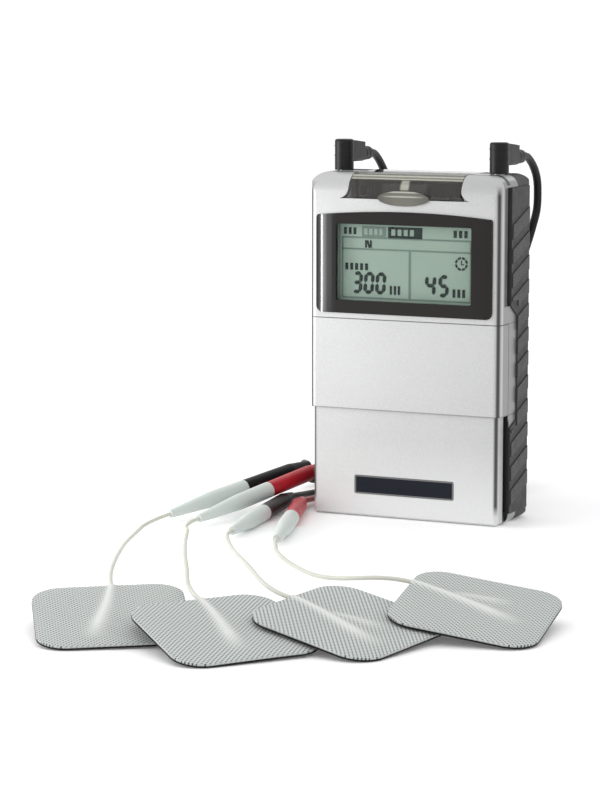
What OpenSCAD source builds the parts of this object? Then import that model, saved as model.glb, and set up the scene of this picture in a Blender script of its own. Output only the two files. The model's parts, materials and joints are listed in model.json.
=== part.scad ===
// Two-channel nerve stimulator with its leads and four electrode pads.
// Millimetres. Origin at the centre of the base, front towards -Y, +Z up.

/* [Case] */
// Width over the silver shell
body_w = 60; // [59:0.5:62]
// Depth of the case, front to back
body_d = 24.5; // [24:0.5:26]
// Height of the case
body_h = 101; // [101:0.5:104]
// Radius of the top front edge, seen from the side
top_front_r = 6; // [4:0.5:7]
// Radius of the rear edges, seen from the side
rear_r = 5; // [3:0.5:6]
// Radius of the upright front edges
edge_r = 2; // [1.6:0.1:2.4]
// Wall thickness of the top, base and rear
wall = 1.8; // [1.6:0.1:2]
// How far the side grips stand proud of the shell
grip_proud = 0.45; // [0.3:0.05:0.6]
// Distance between the diagonal ribs of a grip
rib_pitch = 7; // [6:0.5:8]

/* [Display] */
// Width of the black display frame
bezel_w = 55; // [53:0.5:56]
// Height of the display frame at its sides
bezel_h = 28.4; // [28:0.2:29]
// Rise of the arched top edge
bezel_arch = 1.4; // [0.8:0.1:1.6]
// Visible width of the display
view_w = 42.5; // [40:0.5:44]
// Visible height of the display
view_h = 22.3; // [21:0.1:22.6]

/* [Control door] */
// Height of the lower edge of the door
door_z = 31.95; // [31.8:0.05:32.1]
// Height of the door itself
door_h = 26.5; // [26:0.1:26.6]
// Thickness of the door
door_t = 0.7; // [0.6:0.05:0.75]
// Distance from the door face to the section it slides over
door_step = 0.85; // [0.85:0.05:1]
// Width of a push button
button_w = 12; // [9:0.5:14]
// Height of a push button
button_h = 6; // [5:0.25:7]

/* [Dials] */
// Diameter of a thumb dial
dial_d = 15; // [14:0.25:15.2]
// Sideways distance of a dial from the middle
dial_x = 9.6; // [9.3:0.05:9.8]
// Number of grip notches around a dial
dial_notches = 40; // [24:2:48]

/* [Leads] */
// Diameter of a lead cable
lead_d = 2.4; // [2.2:0.1:2.5]
// Diameter of the branch cables after the split
branch_d = 1.9; // [1.6:0.1:2]
// Sideways distance of a lead plug from the middle
plug_x = 24.5; // [24.4:0.05:24.6]
// Height of the plug body above the case
plug_h = 9; // [8.5:0.5:11]
// Diameter of the contact pin of a plug
plug_pin_d = 3.5; // [3.3:0.05:3.55]
// Diameter of the contact pin at the electrode end
lead_pin_d = 2; // [1.8:0.05:2.1]

/* [Electrodes] */
// Side length of a square electrode pad
pad_w = 37; // [34:0.5:37]
// Thickness of a pad
pad_t = 1.1; // [0.9:0.1:1.3]
// Corner radius of a pad
pad_r = 7.5; // [5:0.5:10]
// Diameter of the white pigtail wire
wire_d = 1.1; // [1:0.1:1.3]
// Length of an electrode socket
socket_l = 30; // [28:0.5:32]
// Length of a lead sleeve
sleeve_l = 27; // [25:0.5:28]

/* [Hidden] */

over = 1;
fine = 64;
slip = 0.3;
front_y = -body_d / 2;
back_y = body_d / 2;
side_x = body_w / 2;
split_front = 1.2;
split_back = 1.3;
low_front_r = 3;
low_side_r = 2.75;
top_side_r = 4;
rear_edge_r = 3;

// lower front section that the door slides over
step_y = front_y + door_step;
step_x = side_x - door_step;
door_back_y = -5.4;
groove_y = -6.6;
groove_w = 1.45;
groove_depth = 0.8;
lip_w = 0.9;
door_top = door_z + door_h;
zone_top = door_top + 0.15;

// inside of the case
room_x = side_x - 3;
room_front = step_y + 1.5;
room_back = back_y - 1.6;
deck_t = 1.5;
deck_back = room_front + deck_t;

// grips
grip_depth = 0.9;
grip_front = -4.7;
grip_notch_y = 0.6;
grip_back = back_y - rear_edge_r;
grip_low = 3;
grip_high = body_h - 3.4;
shadow_w = 2.2;
shadow_depth = 0.5;

// display
bezel_z = 60.2;
bezel_proud = 0.7;
bezel_seat = 1;
view_z = 64;
window_t = 0.8;
glass_front = front_y + 1.75;
glass_t = 2;

// buttons
button_x = 12;
button_low_z = 40.2;
button_high_z = 49.8;
button_face = room_front - 1.1;
button_foot_t = 0.7;

// dials and cover
notch_x = 17.7;
notch_flare = 3.2;
deck_z = 93.6;
dial_y = -2.7;
dial_z = 94.4;
dial_t = 4.2;
dial_bevel = 1.1;
dial_bevel_h = 1.6;
shaft_r = 2;
cover_t = 1.05;
hinge_y = 9;
hinge_z = body_h - 3.2;
hinge_r = 2;
hinge_pin_r = 0.75;

// circuit board
board_front = -5.2;
board_t = 1.6;
board_low = 34;
board_high = 84.3;
screw_x = 26.2;
screw_zs = [38.5, 76];
screw_r = 1;

// battery, lying on its side
battery_l = 46.4;
battery_h = 26.5;
battery_t = 17.5;
battery_x = -25.9;
battery_y = -7.1;
battery_z = 4.6;
terminal_l = 2.1;
door_opening_x = room_x;
battery_door_top = 35;
battery_door_t = 1.2;

// belt clip
clip_pivot_y = back_y + 4.6;
clip_pivot_z = 82;
clip_pin_r = 1;
clip_w = 26;
clip_low = 44;
clip_high = 90;
clip_plate_y = back_y + 5.6;
clip_t = 1.4;
lug_x = 8.3;
lug_w = 2;
ear_x = 6.2;
ear_w = 1.8;
knuckle_r = 2.2;

// plugs and jacks
jack_r = 2.45;
jack_low = 85.5;
plug_y = 0;
plug_r = 2.8;
plug_base = body_h + 0.15;
plug_seams = [4, 6.9];
arm_l = 9.6;
arm_w = 5;
arm_low = 2.4;
arm_fall = 1.2;
relief_z = 4.2;
relief_l = 7.4;
arm_z = plug_base + relief_z;
cord_gap = 0.15;
cord_start_y = plug_y + arm_l + relief_l + cord_gap;
pin_low = 87.4;

// coils, each one the spare length of a lead
coil_mid_r = 12;
coil_turns_wide = 4;
coil_turns_high = 3;
coil_half_w = coil_turns_wide * (lead_d + 0.05) / 2;
coil_height = coil_turns_high * (lead_d + 0.03);
coil_left = [-41, 69, 0];
coil_right = [-6, 49, 0];
cord_lift = 0.08;
floor_z = lead_d / 2 + cord_lift;
branch_z = branch_d / 2 + cord_lift;

// electrode connectors: narrow end, then the far end of the sleeve
tips = [[-60.5, -43, 2.2], [-49.5, -46, 2.2], [-32, -59, 2.2], [-15.5, -64, 2.1]];
ends = [[-40.9, 10, 10.4], [-35.5, 10.5, 10.2], [-39.9, -4, 2.9], [-33.9, -9, 2.8]];
socket_r = 2.4;
sleeve_r = 2.35;
pin_reach = 12.4;
pin_seat = 8;
pin_gap = 0.05;
relief_taper = 8;

// pads: centre in the laid-out frame, turn, rear edge lift, sideways lean
lay_turn = 25.5;
pads = [[[-80.45, -162, 4.16], 7.6, 10.3, 0.2], [[-52.8, -177.55, 4.22], 26.1, 9.9, 3.9],
    [[-23.5, -171, 4.58], 52, 9, 5.4], [[7.1, -160.15, 5.47], 72.4, 10.75, 4.8]];

// cable paths, each a few points that a smooth curve passes through
cord_left_points = [[-plug_x, cord_start_y, arm_z], [-plug_x, cord_start_y + 2, arm_z],
    [-24.5, 22.6, 104.4], [-24.5, 26.6, 101.6], [-24.3, 30, 97.6], [-23.8, 31, 92], [-22.8, 30, 82],
    [-21.6, 28, 62], [-21.6, 29, 38], [-22.6, 34, 16], [-24.6, 46, 9.8], [-28.6, 58, 9.4], [-32, 67, 8.4],
    [-32.6, 72, 6.4]];
cord_right_points = [[plug_x, cord_start_y, arm_z], [plug_x, cord_start_y + 2, arm_z],
    [24.6, 22.8, 104.6], [24.7, 27, 101.8], [24.7, 29.9, 98.2], [24.6, 31, 94], [24.6, 30.4, 89],
    [24.2, 28.4, 84.4], [23.2, 26.6, 79], [21, 25.2, 71], [18.6, 25, 61], [15.6, 24.4, 40], [12.6, 27, 20],
    [9.4, 33, 11.4], [5.6, 41, 9.4], [3, 47.6, 8.4], [2.4, 52, 6.4]];
tail_left_points = [[-56.6, 69, floor_z], [-56.4, 62, floor_z], [-54.2, 55.6, floor_z],
    [-51.8, 50.6, floor_z], [-49.6, 46.6, floor_z]];
tail_right_points = [[-6, 64.6, floor_z], [-13, 63.8, floor_z], [-19.4, 59.6, floor_z],
    [-23.6, 53.6, floor_z], [-26.2, 47, floor_z]];
split_left = [tail_left_points[4], [-47.2, 38.5, floor_z]];
split_right = [tail_right_points[4], [-29.6, 39, floor_z]];
branch_points = [
    [[-48.5, 37.9, branch_z], [-50, 31, 2], [-49.6, 25, 5.6], [-46.5, 18.5, 9.4], ends[0]],
    [[-45.7, 38.5, branch_z], [-43.8, 31, 2.4], [-41, 24, 6.8], [-38, 17, 10], ends[1]],
    [[-30.9, 38.3, branch_z], [-34.4, 30.6, branch_z], [-38.6, 22, branch_z], [-40.6, 10, 1.6], ends[2]],
    [[-28.2, 38.5, branch_z], [-30.2, 30, branch_z], [-33.8, 20, branch_z], [-35, 5, 1.6], ends[3]]];
wire_ways = [
    [[-77.8, -18.7, 1.3], [-79.6, -24.3, 1.2], [-81, -32.1, 1.3], [-82.5, -49.8, 2], [-83, -68.2, 3.9],
        [-82.7, -86.9, 6], [-82.5, -105.6, 8.1], [-82.2, -124.2, 9], [-82, -133.3, 8.8]],
    [[-67.7, -26.6, 1.2], [-67.6, -32.2, 1.3], [-66.9, -39.9, 2.2], [-66.7, -59.5, 3.8], [-66, -80.1, 5.6],
        [-65.2, -101.1, 7.5], [-64.1, -121.9, 8.8], [-62.2, -142, 9.5], [-62, -150.7, 9.2]],
    [[-55.6, -47.2, 2.1], [-55.2, -53.7, 2.3], [-54.6, -62.5, 3], [-53.5, -79.2, 4.8], [-52.2, -96.2, 7],
        [-50.7, -113, 9], [-48.4, -129.2, 10.2], [-44.9, -143.9, 11.1], [-42.9, -151.5, 10]],
    [[-42, -59.1, 2.1], [-41.6, -65.8, 2.2], [-41.1, -74.8, 2.5], [-39.3, -89, 3.7], [-36.8, -103, 5],
        [-33.6, -116.4, 5.9], [-29.1, -128.5, 6.7], [-22.8, -138.5, 7.4], [-17, -143.2, 9.3]]];
wire_ends = [1.4, 1.8, 1.2, 8.2];

silver = [0.80, 0.81, 0.83];
dark = [0.20, 0.20, 0.21];
black = [0.06, 0.06, 0.07];
metal = [0.78, 0.77, 0.72];

// plane helpers

module corner_cut(r) {
    difference() {
        translate([-over, -over]) square(r + over);
        translate([r, r]) circle(r, $fn = fine);
    }
}

// rectangle with a radius of its own at each corner: low left, low right, high right, high left
module rounded(w, h, r) {
    difference() {
        square([w, h]);
        corner_cut(r[0]);
        translate([w, 0]) mirror([1, 0]) corner_cut(r[1]);
        translate([w, h]) mirror([1, 0]) mirror([0, 1]) corner_cut(r[2]);
        translate([0, h]) mirror([0, 1]) corner_cut(r[3]);
    }
}

module centred(w, h, r) {
    translate([-w / 2, -h / 2]) rounded(w, h, [r, r, r, r]);
}

// a front-view outline given depth from y1 back to y2
module from_front(y1, y2) {
    translate([0, y2, 0]) rotate([90, 0, 0]) linear_extrude(y2 - y1) children();
}

// a side-view outline given width from x1 to x2
module from_side(x1, x2) {
    translate([x1, 0, 0]) rotate([90, 0, 90]) linear_extrude(x2 - x1) children();
}

module block(x, y, z) {
    translate([x[0], y[0], z[0]]) cube([x[1] - x[0], y[1] - y[0], z[1] - z[0]]);
}

module both_sides() {
    children();
    mirror([1, 0, 0]) children();
}

// the case as one solid, drawn in by g all round
module case_form(g) {
    w = body_w - 2 * g;
    d = body_d - 2 * g;
    h = body_h - 2 * g;
    intersection() {
        from_front(front_y - over, back_y + over)
            translate([-w / 2, g]) rounded(w, h, [low_side_r, low_side_r, top_side_r, top_side_r]);
        from_side(-side_x - over, side_x + over)
            translate([-d / 2, g]) rounded(d, h, [low_front_r, rear_r, rear_r, top_front_r - g]);
        translate([0, 0, -over]) linear_extrude(body_h + 2 * over)
            translate([-w / 2, -d / 2]) rounded(w, d, [edge_r, edge_r, rear_edge_r, rear_edge_r]);
    }
}

module grip_outline() {
    polygon([[grip_front, grip_low], [grip_front, 28.2], [grip_notch_y, 30.2], [grip_notch_y, 60.1],
        [grip_front, 63.7], [grip_front, grip_high], [grip_back, grip_high], [grip_back, grip_low]]);
}

module notch_flares() {
    for (s = [0, 1]) mirror([s, 0]) difference() {
        translate([notch_x - over, deck_z]) square([notch_flare + over, notch_flare]);
        translate([notch_x + notch_flare, deck_z + notch_flare]) circle(notch_flare, $fn = fine);
    }
}

module bezel_outline(g) {
    w = bezel_w - 2 * g;
    rise = bezel_arch + bezel_h;
    arc_r = (pow(w / 2, 2) + pow(bezel_arch, 2)) / (2 * bezel_arch);
    intersection() {
        translate([-w / 2, bezel_z + g]) rounded(w, rise - 2 * g, [2, 2, 2.4, 2.4]);
        translate([0, bezel_z + rise - g - arc_r]) circle(arc_r, $fn = 8 * fine);
    }
}

module door_plan(gap) {
    w = body_w - 2 * (door_t + gap);
    difference() {
        translate([-side_x, front_y]) rounded(body_w, body_d, [edge_r, edge_r, edge_r, edge_r]);
        translate([-w / 2, front_y + door_t + gap])
            rounded(w, body_d, [edge_r - door_t, edge_r - door_t, over, over]);
        translate([-body_w, door_back_y + gap]) square([2 * body_w, body_d]);
    }
}

module screw_places() {
    for (z = screw_zs) for (x = [-screw_x, screw_x]) translate([x, 0, z]) rotate([-90, 0, 0]) children();
}

// housing

module front_shell() {
    color(silver) difference() {
        intersection() {
            case_form(0);
            block([-side_x - over, side_x + over], [front_y - over, split_front], [-over, body_h + over]);
        }
        lower_step();
        front_room();
        notch_cut();
        from_front(front_y - over, front_y + bezel_seat) bezel_outline(-0.1);
        block([-24, 24], [front_y, room_front + over], [bezel_z + 1.9, bezel_z + bezel_h - 0.5]);
        block([-25, 25], [front_y, room_front], [door_z + 2, door_top - 2.5]);
        for (x = [-button_x, button_x]) for (z = [button_low_z, button_high_z])
            from_front(room_front - over, deck_back + over)
                translate([x, z]) centred(button_w + 0.5, button_h + 0.5, 1.25);
        from_front(step_y - over, step_y + 0.5) translate([0, 9.6]) centred(31.6, 5.6, 0.6);
        both_sides() groove_cut();
        both_sides() grip_pocket();
        both_sides() shadow_channel();
        both_sides() jack_opening();
        for (x = [-dial_x, dial_x]) translate([x, dial_y, deck_z - 3])
            cylinder(6, r = shaft_r + 0.25, $fn = fine);
        screw_places() translate([0, 0, -8.2]) cylinder(12, r = screw_r, $fn = 32);
    }
}

// the lower front and sides drawn in, so that the door can pass over them
module lower_step() {
    w = 2 * step_x;
    r = edge_r - door_step;
    translate([0, 0, -over]) linear_extrude(zone_top + over) difference() {
        translate([-body_w, front_y - over]) square([2 * body_w, door_back_y + 0.25 - front_y + over]);
        translate([-w / 2, step_y]) rounded(w, body_d, [r, r, r, r]);
    }
}

module front_room() {
    difference() {
        block([-room_x, room_x], [room_front, split_front + over], [wall, body_h - wall]);
        dial_housing();
        block([-26.5, 26.5], [room_front - over, deck_back], [door_z - 0.5, door_top + 1.5]);
        screw_places() translate([0, 0, -11]) cylinder(14, r = 2.6, $fn = fine);
    }
}

module dial_housing() {
    block([-21.8, 21.8], [front_y, back_y], [deck_z - 1.4, body_h + over]);
}

module notch_cut() {
    from_front(front_y - over, front_y + 2.4) notch_flares();
    block([-notch_x, notch_x], [front_y - over, back_y + over], [deck_z, body_h + over]);
}

module groove_cut() {
    block([step_x - groove_depth, side_x + over], [groove_y, groove_y + groove_w], [3.5, zone_top]);
}

module grip_pocket() {
    from_side(side_x - grip_depth, side_x + over) grip_outline();
}

// shallow channel that sets the grip off from the silver side
module shadow_channel() {
    block([side_x - shadow_depth, side_x + over], [grip_front - shadow_w, grip_front + over],
        [zone_top + 5, grip_high]);
}

module jack_opening() {
    translate([plug_x, plug_y, body_h - wall - over])
        cylinder(wall + 2 * over, r = plug_pin_d / 2 + 0.2, $fn = fine);
}

module back_shell() {
    color(dark) {
        difference() {
            union() {
                intersection() {
                    case_form(0);
                    block([-side_x - over, side_x + over], [split_back, back_y + over],
                        [-over, body_h + over]);
                }
                both_sides() clip_lug();
            }
            back_room();
            block([-notch_x, notch_x], [0, back_y + over], [deck_z, body_h + over]);
            both_sides() grip_pocket();
            both_sides() jack_opening();
            battery_opening();
            both_sides() translate([notch_x - over, hinge_y, hinge_z]) rotate([0, 90, 0])
                cylinder(over + 3.5, r = hinge_pin_r, $fn = 32);
            translate([-11, clip_pivot_y, clip_pivot_z]) rotate([0, 90, 0])
                cylinder(22, r = clip_pin_r, $fn = 32);
            screw_places() cylinder(body_d, r = screw_r + 0.2, $fn = 32);
            screw_places() translate([0, 0, back_y - 4]) cylinder(body_d, r = 2.3, $fn = fine);
        }
    }
}

module back_room() {
    difference() {
        block([-room_x, room_x], [0, room_back], [wall, body_h - wall]);
        dial_housing();
        block([-side_x, side_x], [0, back_y], [32.2, 33.4]);
        screw_places() cylinder(body_d, r = 2.8, $fn = fine);
    }
}

module battery_opening() {
    block([-door_opening_x, door_opening_x], [room_back - over, back_y + over], [-over, 32.2]);
    block([-door_opening_x, door_opening_x], [back_y - battery_door_t - slip, back_y + over],
        [31, battery_door_top + 0.25]);
    block([-door_opening_x - 0.9, door_opening_x + 0.9],
        [back_y - battery_door_t - slip, back_y - 0.3], [-over, battery_door_top + 0.25]);
}

module clip_lug() {
    from_side(lug_x, lug_x + lug_w) {
        translate([back_y - over, clip_pivot_z - knuckle_r])
            square([clip_pivot_y - back_y + over, 2 * knuckle_r]);
        translate([clip_pivot_y, clip_pivot_z]) circle(knuckle_r, $fn = fine);
    }
}

module grip() {
    from_side(side_x - grip_depth, side_x + grip_proud) difference() {
        intersection() {
            grip_outline();
            translate([grip_front + 0.06, grip_low + 0.06]) square([grip_back - grip_front - 0.12,
                grip_high - grip_low - 0.12]);
        }
        translate([grip_notch_y - over, 30.2]) square([over + 0.06, 29.9]);
    }
    from_side(side_x, side_x + grip_proud + 0.35) intersection() {
        translate([0.25, 0]) square([grip_back - 0.8, body_h]);
        union() {
            for (k = [0 : floor((grip_high - 14) / rib_pitch)])
                translate([grip_front, 5.5 + k * rib_pitch]) rotate(19.5) square([16, rib_pitch * 0.55]);
        }
        translate([grip_front, grip_low + 2]) square([grip_back - grip_front, grip_high - grip_low - 4]);
    }
    from_side(side_x, side_x + grip_proud + 0.35) intersection() {
        translate([grip_front + 0.5, 0]) square([5.6, body_h]);
        union() {
            for (k = [0 : floor((grip_high - 14) / rib_pitch)])
                translate([grip_front, 5.5 + k * rib_pitch]) rotate(19.5) square([16, rib_pitch * 0.55]);
        }
        union() {
            translate([grip_front, grip_low + 2]) square([6.2, 22.5]);
            translate([grip_front, 65]) square([6.2, grip_high - 67]);
        }
    }
}

module grip_right() {
    color(dark) grip();
}

module grip_left() {
    color(dark) mirror([1, 0, 0]) grip();
}

module name_plate() {
    color(black) from_front(step_y + 0.02, step_y + 0.48) translate([0, 9.6]) centred(31.4, 5.4, 0.5);
}

module case_screws() {
    color(metal) screw_places() {
        translate([0, 0, -8]) cylinder(back_y - 4 + 8, r = screw_r, $fn = 32);
        difference() {
            translate([0, 0, back_y - 4]) cylinder(1.5, r = 2, $fn = fine);
            translate([-0.25, -1.4, back_y - 3.2]) cube([0.5, 2.8, 2]);
            translate([-1.4, -0.25, back_y - 3.2]) cube([2.8, 0.5, 2]);
        }
    }
}

// display

module display_bezel() {
    color(black) difference() {
        union() {
            from_front(front_y - bezel_proud, front_y + bezel_seat - 0.05) bezel_outline(0);
            from_front(front_y, front_y + 1.6) translate([0, view_z + view_h / 2]) centred(47.4, 24.8, 1);
        }
        from_front(front_y - over * 2, back_y) translate([0, view_z + view_h / 2])
            centred(view_w, view_h, 0.6);
        from_front(front_y + 0.6, back_y) translate([0, view_z + view_h / 2])
            centred(view_w + 2, view_h + 1.6, 0.6);
    }
}

module display_window() {
    color([0.8, 0.9, 0.85, 0.35]) from_front(front_y + 0.65, front_y + 0.65 + window_t)
        translate([0, view_z + view_h / 2]) centred(view_w + 1.8, view_h + 1.4, 0.5);
}

module display_glass() {
    color([0.60, 0.68, 0.63]) from_front(glass_front, glass_front + glass_t)
        translate([0, view_z + view_h / 2]) square([46.6, 24], center = true);
}

module display_connector() {
    color([0.75, 0.45, 0.5]) block([-20, 20], [glass_front + glass_t, board_front], [64, 66]);
}

// control door and buttons

module control_door() {
    color(silver) {
        translate([0, 0, door_z]) linear_extrude(door_h) door_plan(0);
        both_sides() block([side_x - door_t - 0.6, side_x - door_t / 2], [door_back_y - lip_w, door_back_y],
            [door_z, door_top]);
    }
}

module button(x, z) {
    color(dark) {
        from_front(button_face, deck_back + 0.05) translate([x, z]) centred(button_w, button_h, 1);
        from_front(deck_back + 0.05, deck_back + 0.05 + button_foot_t)
            translate([x, z]) square([button_w + 2, button_h + 2], center = true);
    }
}

module button_mode() {
    button(-button_x, button_high_z);
}

module button_set() {
    button(-button_x, button_low_z);
}

module button_up() {
    button(button_x, button_high_z);
}

module button_down() {
    button(button_x, button_low_z);
}

module keypad_membrane() {
    color([0.45, 0.46, 0.48]) from_front(-7.1, -6.4) translate([0, 45]) centred(43, 21, 1.5);
}

// dials, cover and potentiometers

module dial(x) {
    translate([x, dial_y, dial_z]) difference() {
        rotate_extrude($fn = 96) polygon([[0, 0], [dial_d / 2, 0], [dial_d / 2, dial_t - dial_bevel_h],
            [dial_d / 2 - dial_bevel, dial_t], [0, dial_t]]);
        translate([0, 0, -over]) cylinder(over + 3, r = shaft_r, $fn = fine);
        for (k = [1 : dial_notches]) rotate(k * 360 / dial_notches)
            translate([dial_d / 2 - 0.35, -0.25, -over]) cube([1, 0.5, dial_t + 2 * over]);
    }
}

module dial_left() {
    color(black) dial(-dial_x);
}

module dial_right() {
    color(black) dial(dial_x);
}

module dial_shaft(x) {
    color(metal) translate([x, dial_y, 87]) cylinder(dial_z + 2.9 - 87, r = shaft_r, $fn = fine);
}

module dial_shaft_left() {
    dial_shaft(-dial_x);
}

module dial_shaft_right() {
    dial_shaft(dial_x);
}

module potentiometers() {
    color([0.1, 0.25, 0.5]) for (x = [-dial_x, dial_x]) translate([x, dial_y, 0]) difference() {
        union() {
            block([-4.7, 4.7], [-4.7, 4.7], [85, 91]);
            translate([0, 0, 90]) cylinder(2, r = 3, $fn = fine);
        }
        translate([0, 0, 86.8]) cylinder(6, r = shaft_r + 0.06, $fn = fine);
    }
}

module dial_cover() {
    w = notch_x - slip;
    color([0.35, 0.36, 0.36, 0.45]) difference() {
        union() {
            intersection() {
                difference() {
                    case_form(0);
                    case_form(cover_t);
                }
                block([-w, w], [front_y - over, hinge_y - 1], [deck_z + slip, body_h + over]);
            }
            block([-w, w], [5, hinge_y], [body_h - cover_t, body_h]);
            translate([-w, hinge_y, hinge_z]) rotate([0, 90, 0]) cylinder(2 * w, r = hinge_r, $fn = fine);
            block([-w, w], [hinge_y - 1.6, hinge_y], [hinge_z, body_h - 0.2]);
            thumb_catch();
        }
        block([-w - over, w + over], [hinge_y, back_y + over], [hinge_z + hinge_r, body_h + over]);
        translate([-w - over, hinge_y, hinge_z]) rotate([0, 90, 0])
            cylinder(2 * (w + over), r = hinge_pin_r + 0.06, $fn = 32);
    }
}

module thumb_catch() {
    catch_y = front_y - 0.75;
    difference() {
        from_front(catch_y, front_y + 0.4) translate([0, 94]) scale([8, 2.2]) circle(1, $fn = fine);
        block([-9, 9], [front_y - 0.15, front_y + over], [90, deck_z + slip]);
    }
}

module cover_hinge_pin() {
    color(metal) translate([-notch_x - 3, hinge_y, hinge_z]) rotate([0, 90, 0])
        cylinder(2 * notch_x + 6, r = hinge_pin_r, $fn = 32);
}

// electronics and battery

module circuit_board() {
    color([0.1, 0.4, 0.2]) from_front(board_front, board_front + board_t) difference() {
        translate([-26, board_low]) square([52, board_high - board_low]);
        for (z = screw_zs) for (x = [-screw_x, screw_x]) translate([x, z]) circle(3, $fn = 32);
    }
}

module board_components() {
    rear = board_front + board_t;
    color([0.15, 0.15, 0.16]) {
        for (x = [-button_x, button_x]) for (z = [button_low_z, button_high_z])
            block([x - 3, x + 3], [-6.2, board_front], [z - 3, z + 3]);
        block([-7, 7], [rear, rear + 1.6], [58, 72]);
        block([-20, -8], [rear, rear + 9], [44, 56]);
        block([8, 20], [rear, rear + 9], [44, 56]);
        for (x = [-16, 16]) translate([x, rear, 66]) rotate([-90, 0, 0]) cylinder(8, r = 3.2, $fn = 32);
        block([-3, 3], [rear, rear + 3], [36, 42]);
    }
}

module jack(side) {
    color([0.12, 0.12, 0.13]) {
        difference() {
            translate([side * plug_x, plug_y, jack_low])
                cylinder(body_h - wall - 0.1 - jack_low, r = jack_r, $fn = fine);
            translate([side * plug_x, plug_y, pin_low - 0.8])
                cylinder(20, r = plug_pin_d / 2 + 0.08, $fn = fine);
        }
        block([side * plug_x - 0.8, side * plug_x + 0.8], [board_front + board_t, -1], [80, jack_low + 0.6]);
    }
}

module lead_jacks() {
    jack(-1);
    jack(1);
}

module battery() {
    mid = battery_z + battery_h / 2;
    end_x = battery_x + battery_l;
    color([0.55, 0.45, 0.25]) {
        from_side(battery_x, end_x)
            translate([battery_y, battery_z]) rounded(battery_t, battery_h, [2, 2, 2, 2]);
        for (z = [mid - 6.35, mid + 6.35]) translate([end_x, battery_y + battery_t / 2, z]) rotate([0, 90, 0])
            cylinder(terminal_l, r = 3, $fn = 32);
    }
}

module battery_snap() {
    mid = battery_z + battery_h / 2;
    end_x = battery_x + battery_l;
    color(black) {
        difference() {
            block([end_x + 0.3, end_x + 4.2], [battery_y + 3, battery_y + battery_t - 3], [battery_z + 1.5,
                battery_z + battery_h - 1.5]);
            for (z = [mid - 6.35, mid + 6.35]) translate([end_x, battery_y + battery_t / 2, z])
                rotate([0, 90, 0]) cylinder(terminal_l + 0.3, r = 3.1, $fn = 32);
        }
        for (y = [-2.9, -0.9]) translate([end_x + 3, y, battery_z + battery_h - 2])
            cylinder(board_low + 2.5 - battery_z - battery_h, r = 0.55, $fn = 16);
    }
}

module battery_door() {
    x = door_opening_x - 0.2;
    color(dark) intersection() {
        case_form(0);
        union() {
            block([-x, x], [back_y - battery_door_t, back_y + over], [0, battery_door_top]);
            block([-x - 0.8, x + 0.8], [back_y - battery_door_t, back_y - 0.6], [0, battery_door_top]);
            block([-9, 9], [back_y - battery_door_t, back_y], [battery_door_top - 9, battery_door_top - 8]);
        }
    }
}

// belt clip

module belt_clip() {
    color(black) {
        difference() {
            from_front(clip_plate_y, clip_plate_y + clip_t)
                translate([0, (clip_low + clip_high) / 2]) centred(clip_w, clip_high - clip_low, 4);
            block([-5, 5], [clip_plate_y - over, clip_plate_y + 3], [clip_pivot_z - 4, clip_pivot_z + 4]);
            both_sides() block([lug_x - slip, lug_x + lug_w + slip], [clip_plate_y - over, clip_plate_y + 3],
                [clip_pivot_z - knuckle_r - slip, clip_pivot_z + knuckle_r + slip]);
        }
        block([-10, 10], [back_y + 0.4, clip_plate_y + 0.5], [clip_low + 1, clip_low + 3]);
        both_sides() difference() {
            from_side(ear_x, ear_x + ear_w) {
                translate([clip_pivot_y, clip_pivot_z]) circle(knuckle_r, $fn = fine);
                translate([clip_pivot_y, clip_pivot_z - knuckle_r]) square([1.5, 2 * knuckle_r]);
            }
            translate([5, clip_pivot_y, clip_pivot_z]) rotate([0, 90, 0])
                cylinder(5, r = clip_pin_r + 0.06, $fn = 32);
        }
    }
}

module clip_pin() {
    color(metal) translate([-10.3, clip_pivot_y, clip_pivot_z]) rotate([0, 90, 0])
        cylinder(20.6, r = clip_pin_r, $fn = 32);
}

module clip_spring() {
    turns = 4;
    steps = 10;
    color(metal) tube([for (k = [0 : turns * steps])
        [-3 + 6 * k / (turns * steps), clip_pivot_y + 1.5 * cos(k * 360 / steps),
            clip_pivot_z + 1.5 * sin(k * 360 / steps)]], 0.3, 8);
}

// swept cables

function unit(v) = v / norm(v);

function tangent(p, i) = unit(p[min(i + 1, len(p) - 1)] - p[max(i - 1, 0)]);

function carried(n, t) = unit(n - (n * t) * t);

function normals(p, i, n) = i >= len(p) ? [] :
    let (m = carried(n, tangent(p, i))) concat([m], normals(p, i + 1, m));

function blend(a, b, c, d, t) = 0.5 * (2 * b + (c - a) * t + (2 * a - 5 * b + 4 * c - d) * t * t +
    (3 * b - a - 3 * c + d) * t * t * t);

// points at equal steps along a smooth curve through all of p
function smooth(p, n) = concat([for (i = [0 : len(p) - 2]) for (k = [0 : n - 1])
    blend(p[max(i - 1, 0)], p[i], p[i + 1], p[min(i + 2, len(p) - 1)], k / n)], [p[len(p) - 1]]);

module tube(p, r, sides) {
    last = len(p) - 1;
    n = normals(p, 0, [0.02, 0.03, 1]);
    points = [for (i = [0 : last]) for (k = [0 : sides - 1]) p[i] + r * (cos(k * 360 / sides) * n[i] +
        sin(k * 360 / sides) * cross(tangent(p, i), n[i]))];
    walls = [for (i = [0 : last - 1]) for (k = [0 : sides - 1]) let (m = (k + 1) % sides)
        [i * sides + k, (i + 1) * sides + k, (i + 1) * sides + m, i * sides + m]];
    first_end = [for (k = [0 : sides - 1]) k];
    last_end = [for (k = [sides - 1 : -1 : 0]) last * sides + k];
    polyhedron(points, concat([first_end], walls, [last_end]));
}

module aimed(a, b) {
    d = b - a;
    translate(a) rotate([0, acos(d[2] / norm(d)), atan2(d[1], d[0])]) children();
}

// plugs and leads

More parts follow.
